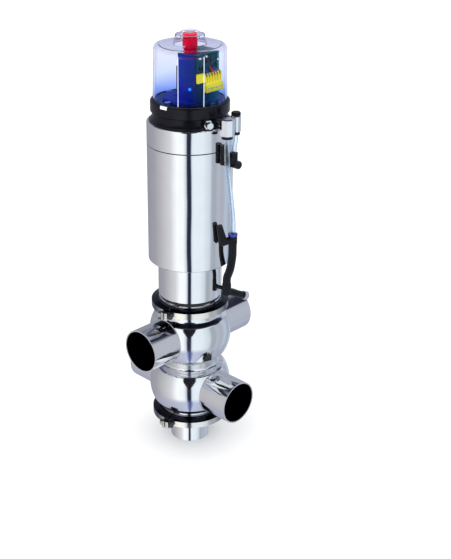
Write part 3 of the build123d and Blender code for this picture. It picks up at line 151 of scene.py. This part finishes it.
def make_world():
    """White room for the eye, and for reflections soft cards with dark gaps between them."""
    world = bpy.data.worlds.new("studio")
    bpy.context.scene.world = world
    world.use_nodes = True
    tree = world.node_tree
    tree.nodes.clear()
    direction = node(tree, "ShaderNodeTexCoord").outputs["Generated"]
    axes = node(tree, "ShaderNodeSeparateXYZ", {0: direction})
    half = math.sqrt(0.5)
    toward = maths(tree, "MULTIPLY", maths(tree, "ADD", axes.outputs["X"], axes.outputs["Y"]), -half)
    right = maths(tree, "MULTIPLY", maths(tree, "SUBTRACT", axes.outputs["X"], axes.outputs["Y"]), half)
    turn = maths(tree, "ARCTAN2", right, toward)
    around = maths(tree, "MULTIPLY_ADD", turn, 1 / (2 * math.pi))
    around.node.inputs[2].default_value = 0.5
    height = maths(tree, "MULTIPLY_ADD", axes.outputs["Z"], 0.5)
    height.node.inputs[2].default_value = 0.5
    level = ramp(tree, around, bearing_stops([
        (-180, (0.30, 0.32, 0.38)), (-150, (0.34, 0.36, 0.42)), (-135, (0.38, 0.37, 0.44)),
        (-112, (0.42, 0.41, 0.46)), (-88, (0.54, 0.54, 0.57)), (-68, (0.68, 0.68, 0.70)),
        (-54, (0.78, 0.79, 0.81)), (-44, (1.00, 1.03, 1.06)), (-36, (1.16, 1.20, 1.20)),
        (-18, (1.12, 1.16, 1.18)), (-10, (0.72, 0.76, 0.84)), (-7, (0.03, 0.04, 0.07)),
        (2.5, (0.01, 0.02, 0.05)), (5.5, (0.86, 0.94, 1.02)), (12, (0.94, 1.04, 1.12)),
        (34, (0.92, 1.02, 1.08)), (55, (0.74, 0.80, 0.88)), (61, (0.46, 0.52, 0.60)),
        (70, (0.42, 0.48, 0.54)), (82, (0.54, 0.57, 0.64)), (97, (0.47, 0.50, 0.60)),
        (114, (0.56, 0.64, 0.76)), (136, (0.38, 0.44, 0.56)), (150, (0.62, 0.66, 0.72)),
        (165, (0.44, 0.47, 0.54)), (180, (0.30, 0.32, 0.38)),
    ]))
    ceiling = ramp(tree, around, bearing_stops([
        (-180, (0.20, 0.22, 0.30)), (-135, (0.08, 0.10, 0.18)), (-100, (0.14, 0.17, 0.28)),
        (-84, (0.60, 0.62, 0.70)), (-70, (0.80, 0.82, 0.86)), (-40, (1.10, 1.13, 1.16)),
        (-26, (1.0, 1.04, 1.1)), (-19, (0.02, 0.02, 0.03)),
        (17, (0.02, 0.02, 0.03)), (24, (0.95, 1.0, 1.08)), (70, (0.95, 1.0, 1.1)),
        (84, (0.55, 0.60, 0.70)), (98, (0.02, 0.02, 0.04)), (135, (0.02, 0.02, 0.04)),
        (152, (0.20, 0.22, 0.30)), (180, (0.20, 0.22, 0.30)),
    ]))
    ground = ramp(tree, around, bearing_stops([
        (-180, (0.34, 0.36, 0.46)), (-60, (0.55, 0.57, 0.70)), (-12, (0.62, 0.66, 0.84)),
        (-3, (0.10, 0.14, 0.34)), (3, (0.10, 0.14, 0.34)), (12, (0.60, 0.66, 0.86)),
        (70, (0.50, 0.54, 0.66)), (180, (0.34, 0.36, 0.46)),
    ]))
    high = ramp(tree, height, [(0.755, 0.0), (0.775, 1.0)])
    # a dark wedge over the camera: as narrow as the dark strip low down, wide at the ceiling
    aside = maths(tree, "ABSOLUTE", maths(tree, "SUBTRACT", around, 0.4944))
    climb = maths(tree, "MULTIPLY_ADD", aside, -3.7)
    tree.links.new(height, climb.node.inputs[2])
    wedge = ramp(tree, climb, [(0.459, 0.0), (0.471, 1.0)])
    facing = ramp(tree, around, bearing_stops([(-24, 0.0), (-20, 1.0), (17, 1.0), (21, 0.0)]))
    low = ramp(tree, height, [(0.14, 1.0), (0.22, 0.0)])
    studio = mix(tree, high, level, ceiling)
    studio = mix(tree, low, studio, ground)
    studio = mix(tree, maths(tree, "MULTIPLY", wedge, facing), studio, (0.01, 0.01, 0.015))
    top = ramp(tree, height, [(0.85, 0.0), (0.90, 1.0)])
    studio = mix(tree, top, studio, (0.04, 0.04, 0.05))
    rays = node(tree, "ShaderNodeLightPath")
    shiny = maths(tree, "SUBTRACT", rays.outputs["Is Glossy Ray"], rays.outputs["Is Transmission Ray"])
    colour = mix(tree, maths(tree, "MAXIMUM", shiny, 0.0), (1.20, 1.205, 1.21), studio)
    shine = node(tree, "ShaderNodeBackground", {"Color": colour, "Strength": 1.0})
    out = node(tree, "ShaderNodeOutputWorld")
    tree.links.new(shine.outputs[0], out.inputs["Surface"])


def make_floor():
    """Pale paper floor, not seen in reflections."""
    mesh = bpy.data.meshes.new("floor")
    half = 7.0
    corners = [(-half, -half, 0), (half, -half, 0), (half, half, 0), (-half, half, 0)]
    mesh.from_pydata(corners, [], [(0, 1, 2, 3)])
    floor = bpy.data.objects.new("floor", mesh)
    bpy.context.scene.collection.objects.link(floor)
    floor.location.z = -0.0004
    floor.visible_glossy = False
    mesh.materials.append(surface("floor_paper", (0.98, 0.98, 0.98), 0.9)[0])


def area_light(name, place, aim, size, power, colour=(1, 1, 1)):
    """Soft rectangular lamp that leaves no reflection."""
    data = bpy.data.lights.new(name, "AREA")
    data.shape = "RECTANGLE"
    data.size, data.size_y = size
    data.energy = power
    data.color = colour
    light = bpy.data.objects.new(name, data)
    light.location = place
    light.rotation_euler = (Vector(place) - Vector(aim)).to_track_quat("Z", "Y").to_euler()
    light.visible_glossy = False
    bpy.context.scene.collection.objects.link(light)


# ------------------------------------------------------------------ materials
def surface(name, colour, rough, metal=0.0, **sockets):
    """A new principled material with its tree and shader."""
    material = bpy.data.materials.new(name)
    material.use_nodes = True
    tree = material.node_tree
    shader = tree.nodes["Principled BSDF"]
    shader.inputs["Base Color"].default_value = (*colour, 1.0)
    shader.inputs["Roughness"].default_value = rough
    shader.inputs["Metallic"].default_value = metal
    for key, value in sockets.items():
        shader.inputs[key.replace("_", " ")].default_value = value
    return material, tree, shader


def noise_field(tree, scale, detail=2.0, rough=0.5, stretch=None):
    """Noise in the piece's own space."""
    where = node(tree, "ShaderNodeTexCoord").outputs["Object"]
    if stretch:
        where = node(tree, "ShaderNodeMapping", {"Vector": where, "Scale": stretch}).outputs[0]
    return node(
        tree, "ShaderNodeTexNoise",
        {"Vector": where, "Scale": scale, "Detail": detail, "Roughness": rough},
    ).outputs["Fac"]


def bump(tree, shader, height, depth, strength=1.0, base=None):
    """Relief from a height, on top of an earlier relief."""
    inputs = {"Height": height, "Distance": depth, "Strength": strength}
    if base is not None:
        inputs["Normal"] = base
    made = node(tree, "ShaderNodeBump", inputs).outputs[0]
    tree.links.new(made, shader.inputs["Normal"])
    return made


def spread(tree, field, low, high):
    """Maps a 0.3 to 0.7 noise onto a range."""
    made = node(tree, "ShaderNodeMapRange", {0: field, 1: 0.3, 2: 0.7, 3: low, 4: high})
    return made.outputs[0]


def inside_mask(tree, centre, across):
    """One on faces that look towards the centre, counted only in the directions of across."""
    coordinates = node(tree, "ShaderNodeTexCoord")
    offset = node(
        tree, "ShaderNodeVectorMath",
        {0: coordinates.outputs["Object"], 1: centre}, operation="SUBTRACT",
    )
    flat = node(tree, "ShaderNodeVectorMath", {0: offset.outputs[0], 1: across}, operation="MULTIPLY")
    facing = node(
        tree, "ShaderNodeVectorMath",
        {0: flat.outputs[0], 1: coordinates.outputs["Normal"]}, operation="DOT_PRODUCT",
    )
    return maths(tree, "LESS_THAN", facing.outputs["Value"], -0.008)


def steel(name, colour, rough, wave, grain, inside=None):
    """Polished sheet and turned steel: slight waves, faint haze and fine lines round the axis."""
    material, tree, shader = surface(name, colour, rough, 1.0)
    haze = noise_field(tree, 42.0, 3.0)
    lines = noise_field(tree, 1.0, 2.0, 0.6, stretch=(22.0, 22.0, 900.0))
    blend = maths(tree, "MULTIPLY_ADD", haze, 0.6)
    tree.links.new(maths(tree, "MULTIPLY", lines, 0.4), blend.node.inputs[2])
    tree.links.new(spread(tree, blend, rough * 0.7, rough * 1.45), shader.inputs["Roughness"])
    tone = ramp(tree, haze, [(0.3, tuple(c * 0.96 for c in colour)), (0.7, colour)])
    if inside:
        tone = mix(tree, inside_mask(tree, *inside), tone, PIPE_SHADE)
    tree.links.new(tone, shader.inputs["Base Color"])
    swell = noise_field(tree, 16.0, 1.0)
    first = bump(tree, shader, swell, 0.0016 * wave, 1.0)
    bump(tree, shader, lines, 0.00002 * grain, 1.0, first)
    return material


def moulded(name, colour, rough, coat, texture, shine=0.5):
    """Moulded plastic: fine pebble, uneven sheen and a clear coat."""
    material, tree, shader = surface(
        name, colour, rough, 0.0, Coat_Weight=coat, Coat_Roughness=0.08, Specular_IOR_Level=shine,
    )
    cloud = noise_field(tree, 60.0, 3.0)
    tree.links.new(spread(tree, cloud, rough * 0.75, rough * 1.35), shader.inputs["Roughness"])
    dull = tuple(c * 0.86 for c in colour)
    bright = tuple(min(1, c * 1.1) for c in colour)
    tone = ramp(tree, cloud, [(0.3, dull), (0.7, bright)])
    tree.links.new(tone, shader.inputs["Base Color"])
    pebble = noise_field(tree, 1600.0, 2.0)
    bump(tree, shader, pebble, 0.00006 * texture, 1.0)
    return material


def glowing(name, colour, rough, glow, strength):
    """Lit lamp lens, or a moulded edge with a painted highlight glowing on it."""
    return surface(name, colour, rough, Emission_Color=(*glow, 1.0), Emission_Strength=strength)[0]


def clamp_steel(name):
    """Cast clamp halves: painted dark reflection on the sloping faces, polished band with painted shade
    that darkens it to its sides.
    """
    material = steel(name, CLAMP_TONE, 0.12, 0.6, 1.0)
    tree = material.node_tree
    shader = tree.nodes["Principled BSDF"]
    normal = node(tree, "ShaderNodeTexCoord").outputs["Normal"]
    slope = maths(tree, "ABSOLUTE", node(tree, "ShaderNodeSeparateXYZ", {0: normal}).outputs["Z"])
    # painted dark reflection on the faces that slope up or down
    painted_dark_slopes = ramp(tree, slope, [(0.35, 0.0), (0.6, 1.0)])
    turned_away = node(tree, "ShaderNodeLayerWeight", {"Blend": 0.5}).outputs["Facing"]
    # painted shade on the band where it turns away towards its sides
    side = ramp(tree, turned_away, [(0.30, 0.0), (0.62, 1.0)])
    # the painted shade colour of the sides, then the near-black painted reflection of the slopes
    tone = mix(tree, side, CLAMP_TONE, (0.10, 0.11, 0.16))
    tone = mix(tree, painted_dark_slopes, tone, (0.012, 0.013, 0.022))
    tree.links.new(tone, shader.inputs["Base Color"])
    return material


def electronics_blue(name):
    """Blue moulding, from royal blue at the left through navy to teal at the right."""
    material, tree, shader = surface(name, (0.01, 0.03, 0.3), 0.45, 0.0, Specular_IOR_Level=0.08)
    where = node(tree, "ShaderNodeSeparateXYZ", {0: node(tree, "ShaderNodeTexCoord").outputs["Object"]})
    right = maths(tree, "SUBTRACT", where.outputs["X"], where.outputs["Y"])
    share = node(tree, "ShaderNodeMapRange", {0: right, 1: -0.03, 2: 0.06, 3: 0.0, 4: 1.0}).outputs[0]
    tone = ramp(tree, share, [
        (0.0, (0.004, 0.012, 0.30)), (0.30, (0.002, 0.008, 0.19)), (0.50, (0.001, 0.014, 0.08)),
        (0.75, (0.002, 0.06, 0.11)), (1.0, (0.02, 0.30, 0.34)),
    ])
    cloud = noise_field(tree, 70.0, 2.0)
    tone = mix(tree, spread(tree, cloud, 0.0, 0.35), tone, (0.002, 0.05, 0.04))
    tree.links.new(tone, shader.inputs["Base Color"])
    bump(tree, shader, noise_field(tree, 1500.0, 2.0), 0.00003, 1.0)
    return material


def hood_plastic(name):
    """Clear hood with painted blue light that deepens towards its foot, and painted shade at the edges
    that turn away.
    """
    material, tree, shader = surface(name, HOOD_PALE, 0.01, 0.0, Transmission_Weight=1.0, IOR=1.13)
    where = node(tree, "ShaderNodeSeparateXYZ", {0: node(tree, "ShaderNodeTexCoord").outputs["Object"]})
    low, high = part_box("clear_hood")
    share = node(
        tree, "ShaderNodeMapRange", {0: where.outputs["Z"], 1: low.z, 2: high.z, 3: 0.0, 4: 1.0},
    ).outputs[0]
    # painted blue light from the blue base, deepest at the hood's foot and fading upwards
    tone = ramp(tree, share, [
        (0.0, HOOD_PAINTED_BLUE_FOOT), (0.10, HOOD_PAINTED_BLUE_FOOT), (0.38, HOOD_PAINTED_BLUE_MIDDLE), (0.78, HOOD_PALE), (0.84, HOOD_CROWN),
    ])
    # painted shade at the edges, where the wall turns away from view
    turned_away = node(tree, "ShaderNodeLayerWeight", {"Blend": 0.5}).outputs["Facing"]
    tone = mix(tree, ramp(tree, turned_away, [(0.60, 0.0), (0.92, 1.0)]), tone, HOOD_PAINTED_EDGE_SHADE)
    tree.links.new(tone, shader.inputs["Base Color"])
    bump(tree, shader, noise_field(tree, 24.0, 1.0), 0.0002, 0.5)
    return material


def clear(name, colour, rough, ior):
    """Clear plastic with faint waves."""
    material, tree, shader = surface(name, colour, rough, 0.0, Transmission_Weight=1.0, IOR=ior)
    cloud = noise_field(tree, 30.0, 2.0)
    tree.links.new(spread(tree, cloud, rough * 0.6, rough * 1.6), shader.inputs["Roughness"])
    swell = noise_field(tree, 22.0, 1.0)
    bump(tree, shader, swell, 0.0003, 0.6)
    return material


STEEL_TONE = (0.84, 0.845, 0.86)
PIPE_SHADE = (0.006, 0.006, 0.008)       # unlit inside of the pipe stubs and globes
# painted blue light in the hood, at its foot and in its middle
HOOD_PAINTED_BLUE_FOOT = (0.24, 0.38, 0.86)
HOOD_PAINTED_BLUE_MIDDLE = (0.74, 0.80, 0.95)
HOOD_PALE = (0.84, 0.86, 0.97)
HOOD_CROWN = (0.70, 0.70, 0.80)
# painted shade at the hood's turned-away edges
HOOD_PAINTED_EDGE_SHADE = (0.30, 0.34, 0.62)
CLAMP_TONE = (0.84, 0.81, 0.74)
MATERIALS = {}


def line_height(name):
    """Height of the axis of a line."""
    low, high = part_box(name)
    return (low.z + high.z) / 2


def make_materials():
    """One material for each slot of the record, and the pieces' own finishes."""
    MATERIALS.update({
        "polished_steel": steel("polished_steel", STEEL_TONE, 0.06, 0.35, 0.3),
        "satin_steel": steel("satin_steel", (0.70, 0.705, 0.72), 0.20, 0.2, 1.0),
        "spring_steel": steel("spring_steel", (0.42, 0.43, 0.45), 0.32, 0.2, 1.0),
        "plated_brass": steel("plated_brass", (0.80, 0.81, 0.85), 0.14, 0.2, 0.5),
        "black_plastic": moulded("black_plastic", (0.003, 0.003, 0.006), 0.24, 0.0, 0.5, 0.22),
        "black_fitting": moulded("black_fitting", (0.003, 0.003, 0.006), 0.32, 0.0, 1.0, 0.22),
        "black_oxide": moulded("black_oxide", (0.02, 0.02, 0.024), 0.30, 0.1, 1.0),
        "black_rubber": moulded("black_rubber", (0.02, 0.02, 0.02), 0.55, 0.0, 1.5),
        "red_plastic": moulded("red_plastic", (0.74, 0.0, 0.03), 0.40, 0.0, 0.3, 0.05),
        "blue_plastic": moulded("blue_plastic", (0.012, 0.03, 0.36), 0.22, 0.4, 0.5),
        "electronics_blue": electronics_blue("electronics_blue"),
        "clamp_steel": clamp_steel("clamp_steel"),
        "dome_clear": clear("dome_clear", (0.97, 0.96, 1.0), 0.01, 1.12),
        # the hood's panel edges glow with a painted highlight, though they are no lamp
        "panel_edge_painted_highlight": glowing("panel_edge_painted_highlight", (0.80, 0.87, 1.0), 0.25, (0.6, 0.7, 1.0), 0.35),
        "lamp_blue": glowing("lamp_blue", (0.03, 0.2, 1.0), 0.15, (0.05, 0.3, 1.0), 0.6),
        "board_green": moulded("board_green", (0.002, 0.045, 0.06), 0.40, 0.0, 0.4, 0.1),
        "yellow_plastic": moulded("yellow_plastic", (1.0, 0.78, 0.0), 0.40, 0.05, 0.5),
        "white_plastic": moulded("white_plastic", (0.88, 0.89, 0.91), 0.35, 0.2, 0.5),
        "bearing_plastic": moulded("bearing_plastic", (0.55, 0.50, 0.42), 0.45, 0.0, 1.0),
        "clear_plastic": hood_plastic("clear_plastic"),
        "tube_nylon": clear("tube_nylon", (0.80, 0.90, 1.0), 0.22, 1.42),
    })
    for line, across in (("upper", (0, 1, 1)), ("lower", (1, 0, 1))):
        centre = (0, 0, line_height(line + "_ports"))
        stub = line + "_stub_steel"
        globe = line + "_globe_steel"
        MATERIALS[stub] = steel(stub, STEEL_TONE, 0.075, 0.35, 0.3, (centre, across))
        MATERIALS[globe] = steel(globe, STEEL_TONE, 0.075, 0.35, 0.3, (centre, (1, 1, 1)))


def dress_nodes():
    """Every CAD node takes the finish of its slot in the record."""
    wanted = {row["node"]: row["material_slot"] for row in frame["record"]["subparts"]}
    wanted.update(OWN_FINISH)
    for name, obj in NODES.items():
        for holder in obj.material_slots:
            holder.link = "OBJECT"
            holder.material = MATERIALS[wanted[name]]
    for name in ("clear_hood", "sight_dome"):
        NODES[name].visible_shadow = False
    for name in ("air_tube_front", "air_tube_rear"):
        NODES[name].visible_glossy = False


# ------------------------------------------------------------------ mesh helpers
def lathe(profile, steps, closed=True, ripple=0.0, ripples=0):
    """Turned form about Z from (radius, height) points: a ring, or a solid with flat ends."""
    verts = []
    faces = []
    count = len(profile)
    middle = sum(r for r, h in profile) / count
    for step in range(steps):
        angle = 2 * math.pi * step / steps
        swell = 1 + ripple * math.cos(ripples * angle)
        for r, h in profile:
            reach = middle + (r - middle) * swell if closed else r
            verts.append((reach * math.cos(angle), reach * math.sin(angle), h * swell if closed else h))
    for step in range(steps):
        here = step * count
        after = (step + 1) % steps * count
        for index in range(count if closed else count - 1):
            other = (index + 1) % count
            faces.append((here + index, after + index, after + other, here + other))
    if not closed:
        faces.append(tuple(reversed(range(0, steps * count, count))))
        faces.append(tuple(range(count - 1, steps * count, count)))
    return verts, faces


def bead(radius, minor, steps=128, ripple=0.0, ripples=0):
    """Ring of round section, with the scales of a weld run when it has ripples."""
    turns = [2 * math.pi * k / 10 for k in range(10)]
    profile = [(radius + minor * math.cos(t), minor * math.sin(t)) for t in turns]
    return lathe(profile, steps, True, ripple, ripples)


def prism(outline, height):
    """Upright prism over a flat outline, from z 0 to the height."""
    count = len(outline)
    verts = [(x, y, 0.0) for x, y in outline] + [(x, y, height) for x, y in outline]
    faces = [(k, (k + 1) % count, (k + 1) % count + count, k + count) for k in range(count)]
    faces.append(tuple(reversed(range(count))))
    faces.append(tuple(range(count, 2 * count)))
    return verts, faces


def block(width, depth, height, corner):
    """Block with chamfered upright edges."""
    x = width / 2
    y = depth / 2
    c = corner
    return prism([
        (x - c, -y), (x, c - y), (x, y - c), (x - c, y),
        (c - x, y), (-x, y - c), (-x, c - y), (c - x, -y),
    ], height)


def rod(points, radius, sides=10):
    """Round wire through a list of points."""
    points = [Vector(p) for p in points]
    verts = []
    faces = []
    side = Vector((0.0, 0.0, 1.0)).cross(points[1] - points[0])
    if side.length < 1e-9:
        side = Vector((1.0, 0.0, 0.0))
    for index, point in enumerate(points):
        ahead = points[min(index + 1, len(points) - 1)] - points[max(index - 1, 0)]
        side = (side - ahead.normalized() * side.dot(ahead.normalized())).normalized()
        other = ahead.normalized().cross(side)
        for k in range(sides):
            turn = 2 * math.pi * k / sides
            verts.append(tuple(point + (side * math.cos(turn) + other * math.sin(turn)) * radius))
    for index in range(len(points) - 1):
        low = index * sides
        for k in range(sides):
            after = (k + 1) % sides
            faces.append((low + k, low + after, low + sides + after, low + sides + k))
    faces.append(tuple(reversed(range(sides))))
    faces.append(tuple(range(len(verts) - sides, len(verts))))
    return verts, faces


def placed(shape, place, direction=(0, 0, 1), turn=0.0):
    """The shape with its Z axis laid along a direction and its origin at a place."""
    lean = Vector(direction).to_track_quat("Z", "Y").to_matrix().to_4x4()
    matrix = Matrix.Translation(Vector(place)) @ lean @ Matrix.Rotation(turn, 4, "Z")
    return [tuple(matrix @ Vector(v)) for v in shape[0]], shape[1]


def piece(name, shapes, body, slot, finish=None):
    """One Blender piece out of several shapes, carried by a body."""
    verts = []
    faces = []
    for more, rings in shapes:
        start = len(verts)
        verts.extend(more)
        faces.extend(tuple(start + k for k in face) for face in rings)
    mesh = bpy.data.meshes.new(name)
    mesh.from_pydata(verts, [], faces)
    mesh.validate()
    for polygon in mesh.polygons:
        polygon.use_smooth = True
    mesh.set_sharp_from_angle(angle=math.radians(38))
    mesh.materials.append(MATERIALS[finish or slot])
    made = bpy.data.objects.new(name, mesh)
    bpy.context.scene.collection.objects.link(made)
    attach(made, body)
    return made


# ------------------------------------------------------------------ details on the steel
def make_weld_runs():
    """Weld runs where the stubs meet the globes and where the globes meet the seat ring."""
    runs = []
    for line, axis in (("upper", Vector((1, 0, 0))), ("lower", Vector((0, 1, 0)))):
        low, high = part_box(line + "_ports")
        stub = (high.z - low.z) / 2
        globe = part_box(line + "_housing")[1].y if line == "upper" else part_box(line + "_housing")[1].x
        reach = math.sqrt(globe ** 2 - stub ** 2)
        for way in (1, -1):
            place = Vector((0, 0, (low.z + high.z) / 2)) + axis * way * reach
            runs.append(placed(bead(stub + 0.1 * MM, 0.9 * MM, 360, 0.14, 90), place, axis))
    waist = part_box("lower_housing")[1].z
    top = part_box("upper_housing")[0].z
    for z in (waist, top):
        runs.append(placed(bead(44.6 * MM, 0.9 * MM, 420, 0.14, 105), (0, 0, z)))
    piece("weld_runs", runs, "valve_body", "satin_steel")


def make_seam_seals():
    """Black rings in the actuator's seam, in the foot groove of the neck and round the hood."""
    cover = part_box("actuator_cylinder")[1].z
    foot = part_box("upper_clamp")[1].z + 5.8 * MM
    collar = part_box("head_collar")[1].z
    rings = [
        placed(bead(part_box("actuator_cylinder")[1].x - 0.75 * MM, 0.5 * MM, 180), (0, 0, cover)),
        placed(bead(48.3 * MM, 1.2 * MM, 160), (0, 0, foot)),
        placed(bead(56.4 * MM, 0.8 * MM, 160), (0, 0, collar + 0.4 * MM)),
    ]
    piece("seam_seals", rings, "valve_body", "black_rubber")


def make_knob_ribs():
    """Grip ribs of the throttle knob."""
    low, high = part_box("throttle_knob")
    middle = (low + high) / 2
    radius = (high.x - low.x) / 2
    ribs = []
    for index in range(22):
        turn = 2 * math.pi * index / 22
        out = Vector((math.cos(turn), math.sin(turn), 0))
        place = Vector((middle.x, middle.y, low.z + 0.5 * MM)) + out * radius
        ribs.append(placed(block(0.9 * MM, 0.9 * MM, 3.4 * MM, 0.2 * MM), place, (0, 0, 1), turn))
    piece("throttle_knob_ribs", ribs, "valve_body", "black_fitting")


# ------------------------------------------------------------------ details in the hood
def half_disc(radius, gap, height, way):
    """Half of a slotted screw head."""
    reach = math.asin(gap / radius)
    turns = [reach + (math.pi - 2 * reach) * k / 10 for k in range(11)]
    return prism([(way * radius * math.cos(t), way * radius * math.sin(t)) for t in turns], height)


def row_place(middle, pitch, index):
    """Place of one terminal or lead in its row."""
    return middle + pitch * (index - (TERMINALS - 1) / 2)


def make_terminal_screws():
    """Slotted clamp screws, each turned a little further than the one before."""
    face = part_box("terminal_block")[0].y + 1.6 * MM
    screws = []
    for index in range(TERMINALS):
        place = (row_place(TERMINAL_X, TERMINAL_PITCH, index), face, TERMINAL_SCREW_Z)
        for way in (1, -1):
            half = half_disc(1.35 * MM, 0.2 * MM, 1.2 * MM, way)
            screws.append(placed(half, place, (0, -1, 0), 0.4 * index))
    piece("terminal_screws", screws, "valve_body", "satin_steel")


def make_wires():
    """Leads that bow from the clamps up to the board."""
    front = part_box("circuit_board")[0].y
    runs = {"black_fitting": [], "blue_plastic": [], "red_plastic": []}
    black, blue, red = runs
    for index, kind in enumerate((black, blue, black, red, blue, black)):
        start = row_place(TERMINAL_X, TERMINAL_PITCH, index)
        end = row_place(BOARD_X, BOARD_PITCH, index)
        points = []
        for k in range(13):
            share = k / 12
            bow = math.sin(math.pi * share) * LEAD_BOW
            x = start + (end - start) * share
            points.append((x, front - 0.2 * MM - bow, LEAD_FOOT_Z + LEAD_RISE * share))
        runs[kind].append(rod(points, 0.7 * MM))
    for kind, rods in runs.items():
        piece("leads_" + kind.split("_")[0], rods, "valve_body", kind)


def make_board_parts():
    """Chips and capacitors on the board, and the lamp beside it."""
    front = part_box("circuit_board")[1].y - 1.6 * MM
    chips = []
    for x, z, w, h in ((2.0, 647.0, 8.0, 8.0), (-13.0, 637.0, 5.0, 4.0), (19.0, 637.0, 4.0, 6.0)):
        chip = block(w * MM, h * MM, 2.0 * MM, 0.4 * MM)
        chips.append(placed(chip, (x * MM, front, z * MM), (0, -1, 0)))
    piece("board_chips", chips, "valve_body", "black_fitting")
    cans = []
    for x, z in ((-16.0, 651.0), (-3.5, 652.5), (20.0, 645.0)):
        can = lathe([(1.8 * MM, 0), (1.8 * MM, 3.4 * MM), (1.4 * MM, 3.9 * MM)], 28, False)
        cans.append(placed(can, (x * MM, front, z * MM), (0, -1, 0)))
    piece("board_capacitors", cans, "valve_body", "satin_steel")
    lens = [(2.4 * MM, 0)]
    for turn in (0, 0.35, 0.7, 1.05, 1.35):
        lens.append((2.2 * MM * math.cos(turn), 0.6 * MM + 2.2 * MM * math.sin(turn)))
    lamp_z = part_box("electronics_housing")[0].z + 22.0 * MM
    lamp = placed(lathe(lens, 32, False), (-22.0 * MM, -22.0 * MM, lamp_z), (-1, 0, 0))
    piece("status_lamp", [lamp], "valve_body", "blue_plastic", "lamp_blue")


def make_springs():
    """The two coil springs, copied from their parts in spring steel."""
    for name, travel in (("main_spring", STROKE + GAP_STROKE), ("push_spring", STROKE)):
        coil = bpy.data.objects.new(name + "_coil", NODES[name].data.copy())
        coil.data.materials.clear()
        coil.data.materials.append(MATERIALS["spring_steel"])
        bpy.context.scene.collection.objects.link(coil)
        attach(coil, "valve_body")
        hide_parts(name)
        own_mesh(coil)


def make_panel_edges():
    """The two upright edges of the flat panel moulded into the hood."""
    low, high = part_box("clear_hood")
    foot = high.x - 0.3 * MM        # the edges stand on the tapered wall
    fall = 2.4 * MM
    edge_low = low.z + 9.0 * MM
    edge_high = high.z - 22.0 * MM
    edges = []
    for aside in (-17.2 * MM, 20.0 * MM):
        points = []
        for k in range(9):
            share = k / 8
            radius = foot - fall * share
            turn = CAMERA_BEARING + math.asin(aside / radius)
            z = edge_low + (edge_high - edge_low) * share
            points.append((radius * math.cos(turn), radius * math.sin(turn), z))
        edges.append(rod(points, 0.45 * MM, 8))
    # the edges glow with a painted highlight
    piece("hood_panel_edges", edges, "hood", "clear_plastic", "panel_edge_painted_highlight")


OWN_FINISH = {
    "upper_ports": "upper_stub_steel",
    "lower_ports": "lower_stub_steel",
    "upper_housing": "upper_globe_steel",
    "lower_housing": "lower_globe_steel",
    "electronics_housing": "electronics_blue",
    "upper_clamp": "clamp_steel",
    "lower_clamp": "clamp_steel",
    "sight_dome": "dome_clear",
}


# ------------------------------------------------------------------ the scene
make_materials()
make_camera()
make_world()
make_floor()
area_light("key", (-2.2, -1.2, 2.2), (0, 0, 0.3), (1.6, 1.6), 22.0)
dress_nodes()
make_weld_runs()
make_seam_seals()
make_knob_ribs()
make_terminal_screws()
make_wires()
make_board_parts()
make_panel_edges()
make_springs()
bpy.context.scene.view_settings.view_transform = "Standard"
